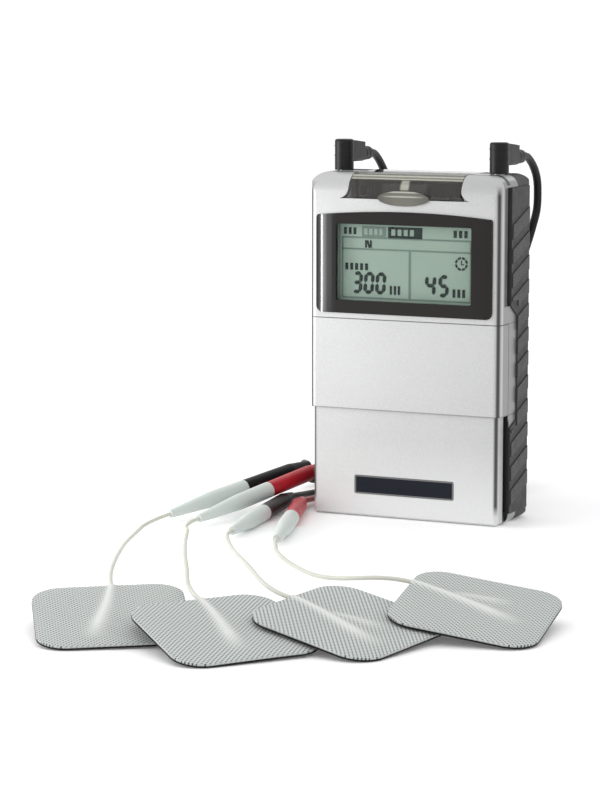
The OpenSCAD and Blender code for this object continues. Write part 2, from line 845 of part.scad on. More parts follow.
module plug(side) {
    color(black) translate([side * plug_x, plug_y, plug_base]) {
        rotate_extrude($fn = fine) difference() {
            square([plug_r, plug_h]);
            translate([plug_r, plug_h]) mirror([1, 0]) mirror([0, 1]) corner_cut(0.6);
        }
        for (z = plug_seams) translate([0, 0, z]) cylinder(0.35, r = plug_r + 0.12, $fn = fine);
        intersection() {
            from_side(-arm_w, arm_w) polygon([[0, arm_low], [arm_l, arm_low - 0.3],
                [arm_l, plug_h - arm_fall], [0, plug_h - 0.1]]);
            from_front(0, arm_l) translate([-arm_w / 2, arm_low - 0.3])
                rounded(arm_w, plug_h - arm_low, [1.2, 1.2, 0.9, 0.9]);
        }
        translate([0, arm_l, relief_z]) rotate([-90, 0, 0]) {
            cylinder(relief_l, r1 = 1.75, r2 = 1.45, $fn = 32);
            for (k = [0 : 2]) translate([0, 0, 0.5 + k * 2.3]) cylinder(1.8, r = 2.15 - k * 0.06, $fn = 32);
        }
    }
}

module plug_left() {
    plug(-1);
}

module plug_right() {
    plug(1);
}

module plug_pin(side) {
    color(metal) translate([side * plug_x, plug_y, pin_low]) {
        difference() {
            cylinder(plug_base - pin_low, d = plug_pin_d, $fn = fine);
            translate([0, 0, 3.4]) difference() {
                cylinder(0.7, r = plug_pin_d, $fn = 32);
                cylinder(0.7, r = plug_pin_d / 2 - 0.3, $fn = 32);
            }
        }
    }
}

module plug_pin_left() {
    plug_pin(-1);
}

module plug_pin_right() {
    plug_pin(1);
}

module lead_cord_left() {
    color(black) {
        tube(smooth(cord_left_points, 2), lead_d / 2, 8);
        tube(smooth(tail_left_points, 1), lead_d / 2, 8);
    }
}

module lead_cord_right() {
    color(black) {
        tube(smooth(cord_right_points, 2), lead_d / 2, 8);
        tube(smooth(tail_right_points, 1), lead_d / 2, 8);
    }
}

module coil(centre) {
    color(black) translate(centre + [0, 0, cord_lift]) rotate_extrude($fn = fine)
        translate([coil_mid_r - coil_half_w, 0])
            rounded(2 * coil_half_w, coil_height, [1, 1, 1, 1]);
}

module lead_coil_left() {
    coil(coil_left);
}

module lead_coil_right() {
    coil(coil_right);
}

module lead_split(ends_of) {
    along = ends_of[1] - ends_of[0];
    reach = norm(along);
    color(black) translate(ends_of[0]) rotate(atan2(along[1], along[0])) {
        translate([0, 0, -floor_z + cord_lift]) linear_extrude(2.9) difference() {
            translate([0, -2.6]) rounded(reach, 5.2, [1.2, 1.2, 1.2, 1.2]);
            translate([-over, -2.6 - over]) square([reach * 0.35, over + 0.9]);
            translate([-over, 1.7]) square([reach * 0.35, over + 0.9]);
        }
    }
}

module lead_split_left() {
    lead_split(split_left);
}

module lead_split_right() {
    lead_split(split_right);
}

module branch_cords() {
    for (i = [0 : 3]) color(i % 2 == 0 ? black : [0.6, 0.05, 0.08])
        tube(smooth(branch_points[i], 2), branch_d / 2, 8);
}

module pin_sleeve(i) {
    span = sleeve_l - relief_taper;
    color(i % 2 == 0 ? black : [0.7, 0.06, 0.1]) aimed(ends[i], tips[i]) difference() {
        union() {
            cylinder(relief_taper, r1 = 1.3, r2 = sleeve_r, $fn = 32);
            translate([0, 0, relief_taper]) cylinder(span - 0.1, r = sleeve_r, $fn = fine);
        }
        translate([0, 0, sleeve_l - pin_seat]) cylinder(pin_seat + over, d = lead_pin_d, $fn = 32);
    }
}

module pin_sleeve_1() {
    pin_sleeve(0);
}

module pin_sleeve_2() {
    pin_sleeve(1);
}

module pin_sleeve_3() {
    pin_sleeve(2);
}

module pin_sleeve_4() {
    pin_sleeve(3);
}

module lead_pins() {
    color(metal) for (i = [0 : 3]) aimed(ends[i], tips[i]) translate([0, 0, sleeve_l - pin_seat])
        cylinder(pin_seat + pin_reach, d = lead_pin_d, $fn = 32);
}

// electrodes

module socket(i) {
    start = norm(tips[i] - ends[i]) - socket_l;
    color([0.92, 0.93, 0.9]) aimed(ends[i], tips[i]) translate([0, 0, sleeve_l + 0.1]) difference() {
        rotate_extrude($fn = fine) polygon([[0, 0], [socket_r, 0], [socket_r, socket_l * 0.45],
            [1.2, start + socket_l - sleeve_l - 0.1], [0, start + socket_l - sleeve_l - 0.1]]);
        translate([0, 0, -over]) cylinder(over + pin_reach + 0.6, r = lead_pin_d / 2 + pin_gap, $fn = 32);
    }
}

module socket_1() {
    socket(0);
}

module socket_2() {
    socket(1);
}

module socket_3() {
    socket(2);
}

module socket_4() {
    socket(3);
}

function turned(p, a) = [p[0] * cos(a) - p[1] * sin(a), p[0] * sin(a) + p[1] * cos(a), p[2]];

function lifted(p, a) = [p[0], p[1] * cos(a) - p[2] * sin(a), p[1] * sin(a) + p[2] * cos(a)];

function leaned(p, a) = [p[0] * cos(a) + p[2] * sin(a), p[1], p[2] * cos(a) - p[0] * sin(a)];

function on_pad(d, p) = turned(d[0] + leaned(lifted(turned(p, d[1]), d[2]), d[3]), lay_turn);

function past(i, l) = tips[i] + l * unit(tips[i] - ends[i]);

function wire_path(i) = concat([past(i, cord_gap), past(i, 3.4)],
    [for (p = wire_ways[i]) turned(p, lay_turn)],
    [on_pad(pads[i], [wire_ends[i], pad_w / 2 + 4, 0.1]),
        on_pad(pads[i], [wire_ends[i], pad_w / 2 - 0.3, 0.1])]);

module pigtail_wire(i) {
    color([0.93, 0.93, 0.88]) tube(smooth(wire_path(i), 3), wire_d / 2, 8);
}

module pigtail_wire_1() {
    pigtail_wire(0);
}

module pigtail_wire_2() {
    pigtail_wire(1);
}

module pigtail_wire_3() {
    pigtail_wire(2);
}

module pigtail_wire_4() {
    pigtail_wire(3);
}

module pad(d) {
    color([0.82, 0.85, 0.83]) rotate([0, 0, lay_turn]) translate(d[0]) rotate([0, d[3], 0])
        rotate([d[2], 0, 0]) rotate([0, 0, d[1]])
            translate([0, 0, -pad_t / 2]) linear_extrude(pad_t) centred(pad_w, pad_w, pad_r);
}

module pad_1() {
    pad(pads[0]);
}

module pad_2() {
    pad(pads[1]);
}

module pad_3() {
    pad(pads[2]);
}

module pad_4() {
    pad(pads[3]);
}

front_shell();
back_shell();
grip_left();
grip_right();
display_bezel();
display_window();
display_glass();
display_connector();
control_door();
keypad_membrane();
button_mode();
button_set();
button_up();
button_down();
dial_cover();
cover_hinge_pin();
dial_left();
dial_right();
dial_shaft_left();
dial_shaft_right();
potentiometers();
lead_jacks();
circuit_board();
board_components();
battery();
battery_snap();
battery_door();
belt_clip();
clip_pin();
clip_spring();
case_screws();
name_plate();
plug_left();
plug_right();
plug_pin_left();
plug_pin_right();
lead_cord_left();
lead_cord_right();
lead_coil_left();
lead_coil_right();
lead_split_left();
lead_split_right();
branch_cords();
pin_sleeve_1();
pin_sleeve_2();
pin_sleeve_3();
pin_sleeve_4();
lead_pins();
socket_1();
socket_2();
socket_3();
socket_4();
pigtail_wire_1();
pigtail_wire_2();
pigtail_wire_3();
pigtail_wire_4();
pad_1();
pad_2();
pad_3();
pad_4();
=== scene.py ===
import json
import math

import bmesh
import bpy
import numpy as np
from mathutils import Matrix, Vector


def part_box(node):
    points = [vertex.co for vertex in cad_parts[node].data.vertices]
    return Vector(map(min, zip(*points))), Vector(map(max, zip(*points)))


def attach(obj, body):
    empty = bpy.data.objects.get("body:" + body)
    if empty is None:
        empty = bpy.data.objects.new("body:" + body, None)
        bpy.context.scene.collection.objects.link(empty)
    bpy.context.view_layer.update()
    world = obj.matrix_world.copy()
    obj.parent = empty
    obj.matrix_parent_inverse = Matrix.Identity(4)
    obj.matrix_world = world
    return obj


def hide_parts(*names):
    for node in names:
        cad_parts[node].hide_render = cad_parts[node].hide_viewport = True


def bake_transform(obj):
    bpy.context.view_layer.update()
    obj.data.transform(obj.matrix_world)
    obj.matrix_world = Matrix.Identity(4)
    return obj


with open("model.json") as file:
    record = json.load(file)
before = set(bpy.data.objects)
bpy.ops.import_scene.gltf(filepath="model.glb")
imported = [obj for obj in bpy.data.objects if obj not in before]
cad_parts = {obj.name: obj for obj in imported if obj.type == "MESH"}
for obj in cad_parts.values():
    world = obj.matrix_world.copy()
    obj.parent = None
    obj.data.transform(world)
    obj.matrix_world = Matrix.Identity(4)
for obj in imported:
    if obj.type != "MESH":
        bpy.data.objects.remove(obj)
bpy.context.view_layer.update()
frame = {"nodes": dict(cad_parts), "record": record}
MM = 0.001


def mm(*p):
    return tuple(x * MM for x in p)


# ---------------------------------------------------------------- camera, distances in millimetres
CAMERA_ROUND, CAMERA_RISE = math.radians(25.5), math.radians(8.0)
CAMERA_FAR = 850
AIM_RIGHT, AIM_UP = -35.17, 32.2
LENS, SENSOR = 127.6, 36

RIGHT = Vector((math.cos(CAMERA_ROUND), math.sin(CAMERA_ROUND), 0))
BACK = Vector((math.sin(CAMERA_ROUND) * math.cos(CAMERA_RISE),
               -math.cos(CAMERA_ROUND) * math.cos(CAMERA_RISE),
               math.sin(CAMERA_RISE)))
UP = BACK.cross(RIGHT)
camera_data = bpy.data.cameras.new("camera")
camera_data.lens = LENS
camera_data.sensor_width = SENSOR
camera_data.clip_start = 0.01
camera = bpy.data.objects.new("camera", camera_data)
bpy.context.collection.objects.link(camera)
camera_place = (RIGHT * AIM_RIGHT + UP * AIM_UP + BACK * CAMERA_FAR) * MM
camera_turn = Matrix((RIGHT, UP, BACK)).transposed().to_4x4()
camera.matrix_world = Matrix.Translation(camera_place) @ camera_turn
bpy.context.scene.camera = camera
bpy.context.scene.view_settings.view_transform = "Standard"

# ---------------------------------------------------------------- mesh helpers
TUBE_SIDES = 12


def new_object(name, verts, faces, material, smooth=True):
    mesh = bpy.data.meshes.new(name)
    mesh.from_pydata([tuple(v) for v in verts], [], faces)
    mesh.validate()
    mesh.update()
    if smooth:
        mesh.polygons.foreach_set("use_smooth", [True] * len(mesh.polygons))
    obj = bpy.data.objects.new(name, mesh)
    bpy.context.collection.objects.link(obj)
    mesh.materials.append(material)
    return obj


def catmull(points, steps):
    """The same smooth curve as the CAD route: it passes through each point."""
    p = [Vector(q) for q in points]
    out = []
    for i in range(len(p) - 1):
        a, b, c, d = p[max(i - 1, 0)], p[i], p[i + 1], p[min(i + 2, len(p) - 1)]
        for k in range(steps):
            t = k / steps
            out.append(0.5 * (2 * b + (c - a) * t + (2 * a - 5 * b + 4 * c - d) * t * t
                              + (3 * b - a - 3 * c + d) * t ** 3))
    return out + [p[-1]]


def side_vectors(path):
    """Two side vectors at each point, carried along the path without twist."""
    n = Vector((0.02, 0.03, 1))
    out = []
    for i in range(len(path)):
        t = (path[min(i + 1, len(path) - 1)] - path[max(i - 1, 0)]).normalized()
        n = (n - n.dot(t) * t).normalized()
        out.append((n.copy(), t.cross(n)))
    return out


def tube(name, path, radius, material):
    """A closed tube along path, in metres."""
    verts, faces = [], []
    last = len(path) - 1
    for p, (n, b) in zip(path, side_vectors(path)):
        for k in range(TUBE_SIDES):
            a = math.tau * k / TUBE_SIDES
            verts.append(p + radius * (math.cos(a) * n + math.sin(a) * b))
    for i in range(last):
        here, there = i * TUBE_SIDES, (i + 1) * TUBE_SIDES
        for k in range(TUBE_SIDES):
            m = (k + 1) % TUBE_SIDES
            faces.append((here + k, here + m, there + m, there + k))
    faces.append(tuple(range(TUBE_SIDES - 1, -1, -1)))
    faces.append(tuple(last * TUBE_SIDES + k for k in range(TUBE_SIDES)))
    return new_object(name, verts, faces, material)


def even_points(path, step):
    """Points along the path, one step apart, with its two ends."""
    out, left = [path[0]], step
    for a, b in zip(path, path[1:]):
        span = (b - a).length
        at = left
        while at < span:
            out.append(a + (b - a) * (at / span))
            at += step
        left = at - span
    return out + [path[-1]]


def eased(share):
    """0 to 1 with a gentle start and end."""
    return share * share * (3 - 2 * share)


# A pigtail's spring: it is slack near its socket, and stiff from twice SLACK_LENGTH on, in millimetres
FAIR_STEP = 1.0
SLACK_LENGTH = 12.0
SLACK, STIFF = 4.0, 5000.0
HELD = 1e6
HELD_AT_START, HELD_AT_END = 5, 6


def faired(path):
    """The route as a springy wire takes it: it may turn sharply near its start only."""
    points = even_points(path, FAIR_STEP)
    count = len(points)
    route = np.array([tuple(p) for p in points])
    pull = np.ones(count)
    pull[:HELD_AT_START] = pull[-HELD_AT_END:] = HELD
    bend = np.zeros((count - 2, count))
    for k in range(count - 2):
        bend[k, k:k + 3] = (1, -2, 1)
    along = np.arange(1, count - 1) * FAIR_STEP
    share = eased(np.clip((along - SLACK_LENGTH) / SLACK_LENGTH, 0, 1))
    rigid = SLACK * (STIFF / SLACK) ** share
    smooth = np.linalg.solve(np.diag(pull) + bend.T @ (rigid[:, None] * bend), pull[:, None] * route)
    return [Vector(p) for p in smooth]


# ---------------------------------------------------------------- materials


class Nodes:
    """A Principled material, with short calls that add its nodes and link them."""

    def __init__(self, name, color, roughness, **sockets):
        self.material = bpy.data.materials.new(name)
        self.material.use_nodes = True
        self.tree = self.material.node_tree
        self.shader = self.tree.nodes["Principled BSDF"]
        self.shader.inputs["Base Color"].default_value = (*color, 1)
        self.shader.inputs["Roughness"].default_value = roughness
        for key, value in sockets.items():
            self.shader.inputs[key.replace("_", " ")].default_value = value
        self.coords = self.add("ShaderNodeTexCoord").outputs["Object"]
        self.normal = None

    def add(self, kind, **values):
        """A new node; each value is one of its properties, or else one of its input sockets."""
        node = self.tree.nodes.new(kind)
        for key, value in values.items():
            if hasattr(node, key):
                setattr(node, key, value)
            else:
                node.inputs[key.replace("_", " ")].default_value = value
        return node

    def link(self, a, b):
        self.tree.links.new(a, b)

    def axes(self):
        """The place on the part: x, y and z in metres, in the CAD model's frame."""
        split = self.add("ShaderNodeSeparateXYZ")
        self.link(self.coords, split.inputs[0])
        return split.outputs["X"], split.outputs["Y"], split.outputs["Z"]

    def noise(self, scale, detail=2.0):
        node = self.add("ShaderNodeTexNoise", Scale=scale, Detail=detail)
        self.link(self.coords, node.inputs["Vector"])
        return node.outputs["Fac"]

    def cloud(self, scale, detail=2.0, to_low=0.0, to_high=1.0):
        """Noise drawn out to run over the whole way from to_low to to_high."""
        return self.spread(self.noise(scale, detail), 0.3, 0.7, to_low, to_high)

    def spread(self, value, low, high, to_low=0.0, to_high=1.0):
        """Maps low to to_low and high to to_high, and holds the ends."""
        node = self.add("ShaderNodeMapRange", clamp=True)
        for i, x in enumerate((low, high, to_low, to_high)):
            node.inputs[i + 1].default_value = x
        self.link(value, node.inputs[0])
        return node.outputs[0]

    def fall(self, value, low, high):
        """A mask that is 1 up to low and 0 from high on."""
        return self.spread(value, low, high, 1.0, 0.0)

    def band(self, value, start, full, wane, end):
        """A mask that rises from start to full and falls from wane to end."""
        return self.overlap(self.spread(value, start, full), self.fall(value, wane, end))

    def line(self, value, middle, half, soft):
        """A thin band round middle, half wide on each side and then soft."""
        return self.band(value, middle - half - soft, middle - half, middle + half, middle + half + soft)

    def math(self, operation, a, b=None):
        node = self.add("ShaderNodeMath", operation=operation)
        for i, x in enumerate((a, b)):
            if x is None:
                continue
            if isinstance(x, (int, float)):
                node.inputs[i].default_value = x
            else:
                self.link(x, node.inputs[i])
        return node.outputs[0]

    def overlap(self, first, *others):
        """The masks, or a mask and its strength, multiplied."""
        for other in others:
            first = self.math("MULTIPLY", first, other)
        return first

    def union(self, first, *others):
        """The strongest of the masks."""
        for other in others:
            first = self.math("MAXIMUM", first, other)
        return first

    def mix(self, fac, a, b):
        """Colour a where fac is 0 and b where it is 1."""
        node = self.add("ShaderNodeMix", data_type="RGBA")
        self.link(fac, node.inputs[0])
        for i, x in ((6, a), (7, b)):
            if isinstance(x, tuple):
                node.inputs[i].default_value = (*x, 1)
            else:
                self.link(x, node.inputs[i])
        return node.outputs[2]

    def set(self, socket, value):
        self.link(value, self.shader.inputs[socket])

    def bump(self, height, strength, distance):
        """Adds one more layer of bump over those before it."""
        node = self.add("ShaderNodeBump", Strength=strength, Distance=distance)
        self.link(height, node.inputs["Height"])
        if self.normal is not None:
            self.link(self.normal, node.inputs["Normal"])
        self.normal = node.outputs["Normal"]
        self.link(self.normal, self.shader.inputs["Normal"])


def shade(color, k):
    return tuple(min(1.0, c * k) for c in color)


def varied(name, color, roughness, grain=2500.0, amount=0.06, bump=0.15, depth=0.00004, **sockets):
    """A moulded or painted surface: fine grain, soft colour variation and slight wear in the roughness."""
    n = Nodes(name, color, roughness, **sockets)
    n.set("Base Color", n.mix(n.cloud(60.0, 3.0), shade(color, 1 - amount), shade(color, 1 + amount)))
    n.set("Roughness", n.cloud(220.0, 4.0, max(0.02, roughness - 0.05), roughness + 0.06))
    n.bump(n.noise(grain), bump, depth)
    return n.material


# Places on the case where a material changes, in metres, in the CAD model's frame
SHELL_LOW, SHELL_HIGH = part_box("front_shell")
DOOR_LOW, DOOR_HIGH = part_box("control_door")
COVER_LOW, COVER_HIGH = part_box("dial_cover")
PLATE_LOW, PLATE_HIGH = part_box("name_plate")
SIDE_X = SHELL_HIGH[0]
SIDE_EDGE_Y = -0.0100
DOOR_LOW_Z, DOOR_HIGH_Z = DOOR_LOW[2] + 0.00005, DOOR_HIGH[2] + 0.0001
CHANNEL_LOW_Z, CHANNEL_HIGH_Z = 0.0635, 0.0979
CHANNEL_FRONT_Y, CHANNEL_BACK_Y = -0.0069, -0.0046
NOTCH_X, NOTCH_Z = COVER_HIGH[0] + 0.0001, COVER_LOW[2] + 0.0002
PLATE_Z = (PLATE_LOW[2] + PLATE_HIGH[2]) / 2
BORDER_X, BORDER_Z = PLATE_HIGH[0] - 0.0005, PLATE_HIGH[2] - PLATE_Z - 0.00045
COVER_TOP_Z = COVER_HIGH[2] - 0.002
CATCH_Y = SHELL_LOW[1] - 0.00015
BLACK = (0.0, 0.0, 0.0)


def dark_corner_reflection(n, wide, y, z):
    """The narrow dark line down each rounded front corner of the shell: a painted reflection of dark
    surroundings.
    """
    turn = n.math("ADD", wide, y)
    return n.overlap(n.band(turn, 0.0164, 0.0172, 0.0180, 0.0190),
                     n.spread(y, SIDE_EDGE_Y, -0.0097, 0.97, 0.0),
                     n.band(z, 0.003, 0.006, 0.0955, 0.0985))


def shade_in_recesses(n, wide, y, z):
    """Painted shade: black beside each grip, in the channel under it and inside the dial notch, in these
    recesses where shade falls.
    """
    channel = n.overlap(n.fall(wide, 0.02975, 0.02985),
                        n.band(y, CHANNEL_FRONT_Y - 0.00004, CHANNEL_FRONT_Y,
                               CHANNEL_BACK_Y - 0.00005, CHANNEL_BACK_Y))
    rim = n.overlap(n.spread(wide, SIDE_X - 0.0001, SIDE_X),
                    n.spread(y, -0.0094, -0.0086),
                    n.band(z, CHANNEL_LOW_Z, CHANNEL_LOW_Z + 0.0003, CHANNEL_HIGH_Z - 0.0003, CHANNEL_HIGH_Z))
    low = n.overlap(n.spread(wide, 0.0289, 0.0291),
                    n.band(y, -0.0053, -0.0052, CHANNEL_BACK_Y, CHANNEL_BACK_Y + 0.00005),
                    n.fall(z, 0.0300, 0.0310))
    notch = n.overlap(n.fall(wide, NOTCH_X - 0.0001, NOTCH_X + 0.0001),
                      n.spread(y, SIDE_EDGE_Y, -0.0095),
                      n.spread(z, NOTCH_Z, NOTCH_Z + 0.0005))
    return n.union(channel, rim, low, notch)


def silver_paint():
    """Satin metallic paint, with painted light and shade by place and black painted shade in its recesses."""
    n = Nodes("silver_paint", (0.55, 0.553, 0.55), 0.36, Metallic=0.35, Coat_Weight=0.2, Coat_Roughness=0.2)
    x, y, z = n.axes()
    wide = n.math("ABSOLUTE", x)
    flake = n.noise(5200.0, 1.0)
    tone = n.mix(n.cloud(45.0, 3.0), (0.460, 0.465, 0.463), (0.495, 0.50, 0.498))
    paint = n.mix(n.spread(flake, 0.35, 0.72), tone, (0.575, 0.58, 0.578))

    # Painted shade: the paint darkens from left to right, as if lit from the left.
    shade_toward_right = n.spread(x, -SIDE_X, SIDE_X, 0.0, 0.11)
    # Painted light: the paint is lighter towards the foot.
    light_at_foot = n.spread(z, 0.0, 0.024, 0.34, 0.0)
    # Painted shade: the paint darkens towards the top.
    shade_at_top = n.spread(z, 0.088, 0.096, 0.0, 0.10)
    # Painted shade: the side faces are darker than the front.
    shade_on_side = n.overlap(n.spread(wide, 0.0290, 0.0294), n.spread(y, SIDE_EDGE_Y, -0.0094), 0.52)
    # Painted shade: dark lines along the door's top and bottom gaps.
    door_lines = n.union(n.line(z, DOOR_HIGH_Z, 0.0001, 0.0001), n.line(z, DOOR_LOW_Z, 0.0001, 0.0002))
    shade_in_door_gaps = n.overlap(door_lines, 0.55)
    # Painted reflection: a dark line down each rounded front corner.
    corner = dark_corner_reflection(n, wide, y, z)
    for mask, color in ((shade_toward_right, BLACK), (light_at_foot, (0.95, 0.955, 0.955)), (shade_at_top, BLACK),
                        (shade_on_side, (0.02, 0.02, 0.019)), (shade_in_door_gaps, (0.05, 0.05, 0.049)),
                        (corner, (0.035, 0.035, 0.034))):
        paint = n.mix(mask, paint, color)

    # Painted shade: black in the recesses, without metal or coat there.
    recess_shade = shade_in_recesses(n, wide, y, z)
    n.set("Base Color", n.mix(recess_shade, paint, (0.012, 0.012, 0.013)))
    n.set("Metallic", n.overlap(n.spread(z, 0.0, 0.035, 0.08, 0.35), n.math("SUBTRACT", 1.0, recess_shade)))
    n.set("Coat Weight", n.spread(n.union(recess_shade, corner), 0.0, 1.0, 0.2, 0.0))
    n.set("Roughness", n.spread(flake, 0.3, 0.7, 0.33, 0.45))
    n.bump(n.noise(2600.0), 0.07, 0.00003)
    return n.material


def grip_rubber():
    """Matt black rubber with a fine dotted grain on its raised ribs."""
    n = Nodes("grip_rubber", (0.06, 0.06, 0.06), 0.62, Specular_IOR_Level=0.4)
    x, y, z = n.axes()
    dot_pitch = math.tau / 0.00125
    one_way = n.math("SINE", n.math("MULTIPLY", n.math("ADD", y, z), dot_pitch))
    other_way = n.math("SINE", n.math("MULTIPLY", n.math("SUBTRACT", y, z), dot_pitch))
    on_rib = n.spread(n.math("ABSOLUTE", x), 0.03055, 0.0307)
    dots = n.overlap(n.spread(n.overlap(one_way, other_way), 0.1, 0.7), on_rib)
    # Painted shade: the grooves between the ribs are darker than the rib faces.
    base = n.mix(on_rib, (0.036, 0.036, 0.037), (0.050, 0.050, 0.050))
    n.set("Base Color", n.mix(dots, base, (0.105, 0.105, 0.102)))
    n.set("Roughness", n.cloud(400.0, 3.0, 0.55, 0.72))
    n.bump(n.noise(2400.0), 0.2, 0.00004)
    n.bump(dots, 0.7, 0.0002)
    return n.material


def gloss_black():
    """Piano black for the display frame, rounded off at its sides, with a painted reflection glow on its left
    side; dull on the blank name plate.
    """
    n = Nodes("gloss_black", (0.007, 0.006, 0.005), 0.1, Specular_IOR_Level=0.2, Coat_Weight=0.2,
              Coat_Roughness=0.38)
    x, y, z = n.axes()
    wide = n.math("ABSOLUTE", x)
    left = n.math("MULTIPLY", x, -1.0)
    highlight = n.band(left, 0.0240, 0.0252, 0.0262, 0.0270)
    # Painted reflection: a lighter band on the frame's left side, where it reflects a lamp.
    painted_glow = n.band(left, 0.0210, 0.0256, 0.0258, 0.0266)
    frame_black = n.mix(painted_glow, (0.0070, 0.0056, 0.0042), (0.024, 0.025, 0.027))

    on_plate = n.fall(z, 0.020, 0.030)
    high = n.math("ABSOLUTE", n.math("SUBTRACT", z, PLATE_Z))
    border = n.union(n.spread(wide, BORDER_X, BORDER_X + 0.0001), n.spread(high, BORDER_Z, BORDER_Z + 0.0001))
    plate_black = n.mix(border, (0.010, 0.012, 0.018), (0.15, 0.15, 0.155))

    n.set("Base Color", n.mix(on_plate, frame_black, plate_black))
    n.set("Roughness", n.math("ADD", n.spread(on_plate, 0.0, 1.0, 0.08, 0.5), n.cloud(900.0, 2.0, 0.0, 0.03)))
    n.set("Specular IOR Level", n.overlap(n.spread(highlight, 0.0, 1.0, 0.17, 0.8),
                                          n.spread(on_plate, 0.0, 1.0, 1.0, 0.6)))
    n.set("Coat Weight", n.spread(on_plate, 0.0, 1.0, 0.2, 0.0))
    rounding_x, rounding = 0.0210, -5160000.0
    past = n.math("MAXIMUM", n.math("SUBTRACT", wide, rounding_x), 0.0)
    n.bump(n.math("MULTIPLY", n.math("POWER", past, 3.0), rounding), 1.0, 0.001)
    n.bump(n.noise(900.0), 0.04, 0.00002)
    return n.material


def smoky_clear():
    """Smoke-tinted clear plastic, with painted light along its top edge, its middle rib and its catch, where
    the plastic pipes light.
    """
    n = Nodes("smoky_clear", (0.06, 0.055, 0.05), 0.06, IOR=1.49, Coat_Weight=0.4, Coat_Roughness=0.03)
    x, y, z = n.axes()
    wide = n.math("ABSOLUTE", x)
    # Painted light: cream streaks along the top edge, on the middle rib and two bright lines across the catch.
    on_top = n.overlap(n.spread(z, COVER_TOP_Z, COVER_TOP_Z + 0.0004), n.fall(y, -0.0075, -0.0065))
    streaks = n.spread(n.math("SINE", n.math("MULTIPLY", z, math.tau / 0.0008)), -0.2, 0.9, 0.55, 1.0)
    on_rib = n.overlap(n.fall(wide, 0.0010, 0.0016), n.fall(y, -0.0108, -0.0102), n.spread(z, 0.0962, 0.0966))
    on_catch = n.fall(y, CATCH_Y, CATCH_Y + 0.0001)
    catch_lines = n.union(n.line(z, 0.09585, 0.00015, 0.0001), n.line(z, 0.09455, 0.00015, 0.0001))
    painted_light = n.union(n.overlap(on_top, streaks), n.overlap(on_rib, 0.8),
                  n.overlap(on_catch, catch_lines, n.spread(wide, 0.0035, 0.007, 0.8, 0.0)))

    behind_rib = n.overlap(n.fall(wide, 0.0060, 0.0075), n.fall(z, 0.0978, 0.0984),
                           n.fall(y, -0.0070, -0.0060))
    base = n.mix(behind_rib, (0.045, 0.042, 0.036), (0.026, 0.0245, 0.021))
    # Painted shade: the catch is darker towards its ends.
    catch = n.mix(n.spread(wide, 0.002, 0.0075), (0.125, 0.122, 0.102), (0.085, 0.083, 0.070))
    n.set("Base Color", n.mix(painted_light, n.mix(on_catch, base, catch), (0.43, 0.425, 0.355)))
    n.set("Alpha", n.union(n.overlap(painted_light, 0.95), n.overlap(on_catch, 0.9),
                           n.spread(behind_rib, 0.0, 1.0, 0.42, 0.95), n.spread(y, -0.002, 0.002, 0.42, 0.97)))
    n.set("Roughness", n.cloud(60.0, 2.0, 0.05, 0.09))
    return n.material


def pad_cloth():
    """A white knit over a black film: rows of small dark stitches, whiter along the buried wire."""
    n = Nodes("pad_cloth", (0.55, 0.58, 0.565), 0.88, Sheen_Weight=0.15, Sheen_Roughness=0.5,
              Specular_IOR_Level=0.2)
    x, y, z = n.axes()
    stitch_pitch = math.tau / 0.00130
    one_way = n.math("COSINE", n.math("MULTIPLY", n.math("ADD", x, y), stitch_pitch))
    other_way = n.math("COSINE", n.math("MULTIPLY", n.math("SUBTRACT", x, y), stitch_pitch))
    across = n.spread(other_way, -1.0, 1.0)
    holes = n.spread(n.overlap(n.spread(one_way, -1.0, 1.0), across), 0.38, 0.72)
    rows = n.spread(across, 0.35, 0.95)
    ridge = n.add("ShaderNodeAttribute", attribute_name="ridge").outputs["Fac"]
    open_cloth = n.math("SUBTRACT", 1.0, n.overlap(ridge, 0.8))
    base = n.mix(rows, (0.53, 0.56, 0.545), (0.40, 0.425, 0.415))
    base = n.mix(n.cloud(90.0, 3.0, 0.0, 0.4), base, (0.47, 0.495, 0.485))
    base = n.mix(n.overlap(holes, open_cloth), base, (0.095, 0.115, 0.12))
    n.set("Base Color", n.mix(n.overlap(ridge, 0.9), base, (0.70, 0.715, 0.69)))
    n.set("Roughness", n.cloud(700.0, 2.0, 0.78, 0.92))
    n.bump(n.noise(3500.0), 0.3, 0.00005)
    n.bump(n.math("SUBTRACT", n.math("MULTIPLY", rows, -0.3), holes), 0.6, 0.00015)
    return n.material


def clear_window():
    """The almost invisible pane over the display."""
    n = Nodes("clear_window", (0.4, 0.45, 0.42), 0.04, Alpha=0.02, IOR=1.49, Coat_Roughness=0.04)
    n.set("Roughness", n.cloud(120.0, 3.0, 0.04, 0.07))
    return n.material


def lcd_face():
    """The display's grey-green ground."""
    n = Nodes("lcd_face", (0.27, 0.365, 0.30), 0.45, Specular_IOR_Level=0.3)
    n.set("Base Color", n.mix(n.cloud(70.0), (0.205, 0.280, 0.230), (0.225, 0.300, 0.250)))
    n.set("Roughness", n.cloud(900.0, 2.0, 0.42, 0.5))
    n.bump(n.noise(3000.0, 1.0), 0.08, 0.00002)
    return n.material


def board_green():
    """Green lacquer with paler tracks."""
    n = Nodes("board_green", (0.02, 0.12, 0.05), 0.4)
    tracks = n.add("ShaderNodeTexBrick", Scale=260.0)
    n.link(n.coords, tracks.inputs["Vector"])
    n.set("Base Color", n.mix(tracks.outputs["Fac"], (0.015, 0.11, 0.045), (0.04, 0.22, 0.09)))
    n.bump(tracks.outputs["Fac"], 0.3, 0.00005)
    n.set("Roughness", n.cloud(500.0, 2.0, 0.35, 0.5))
    return n.material


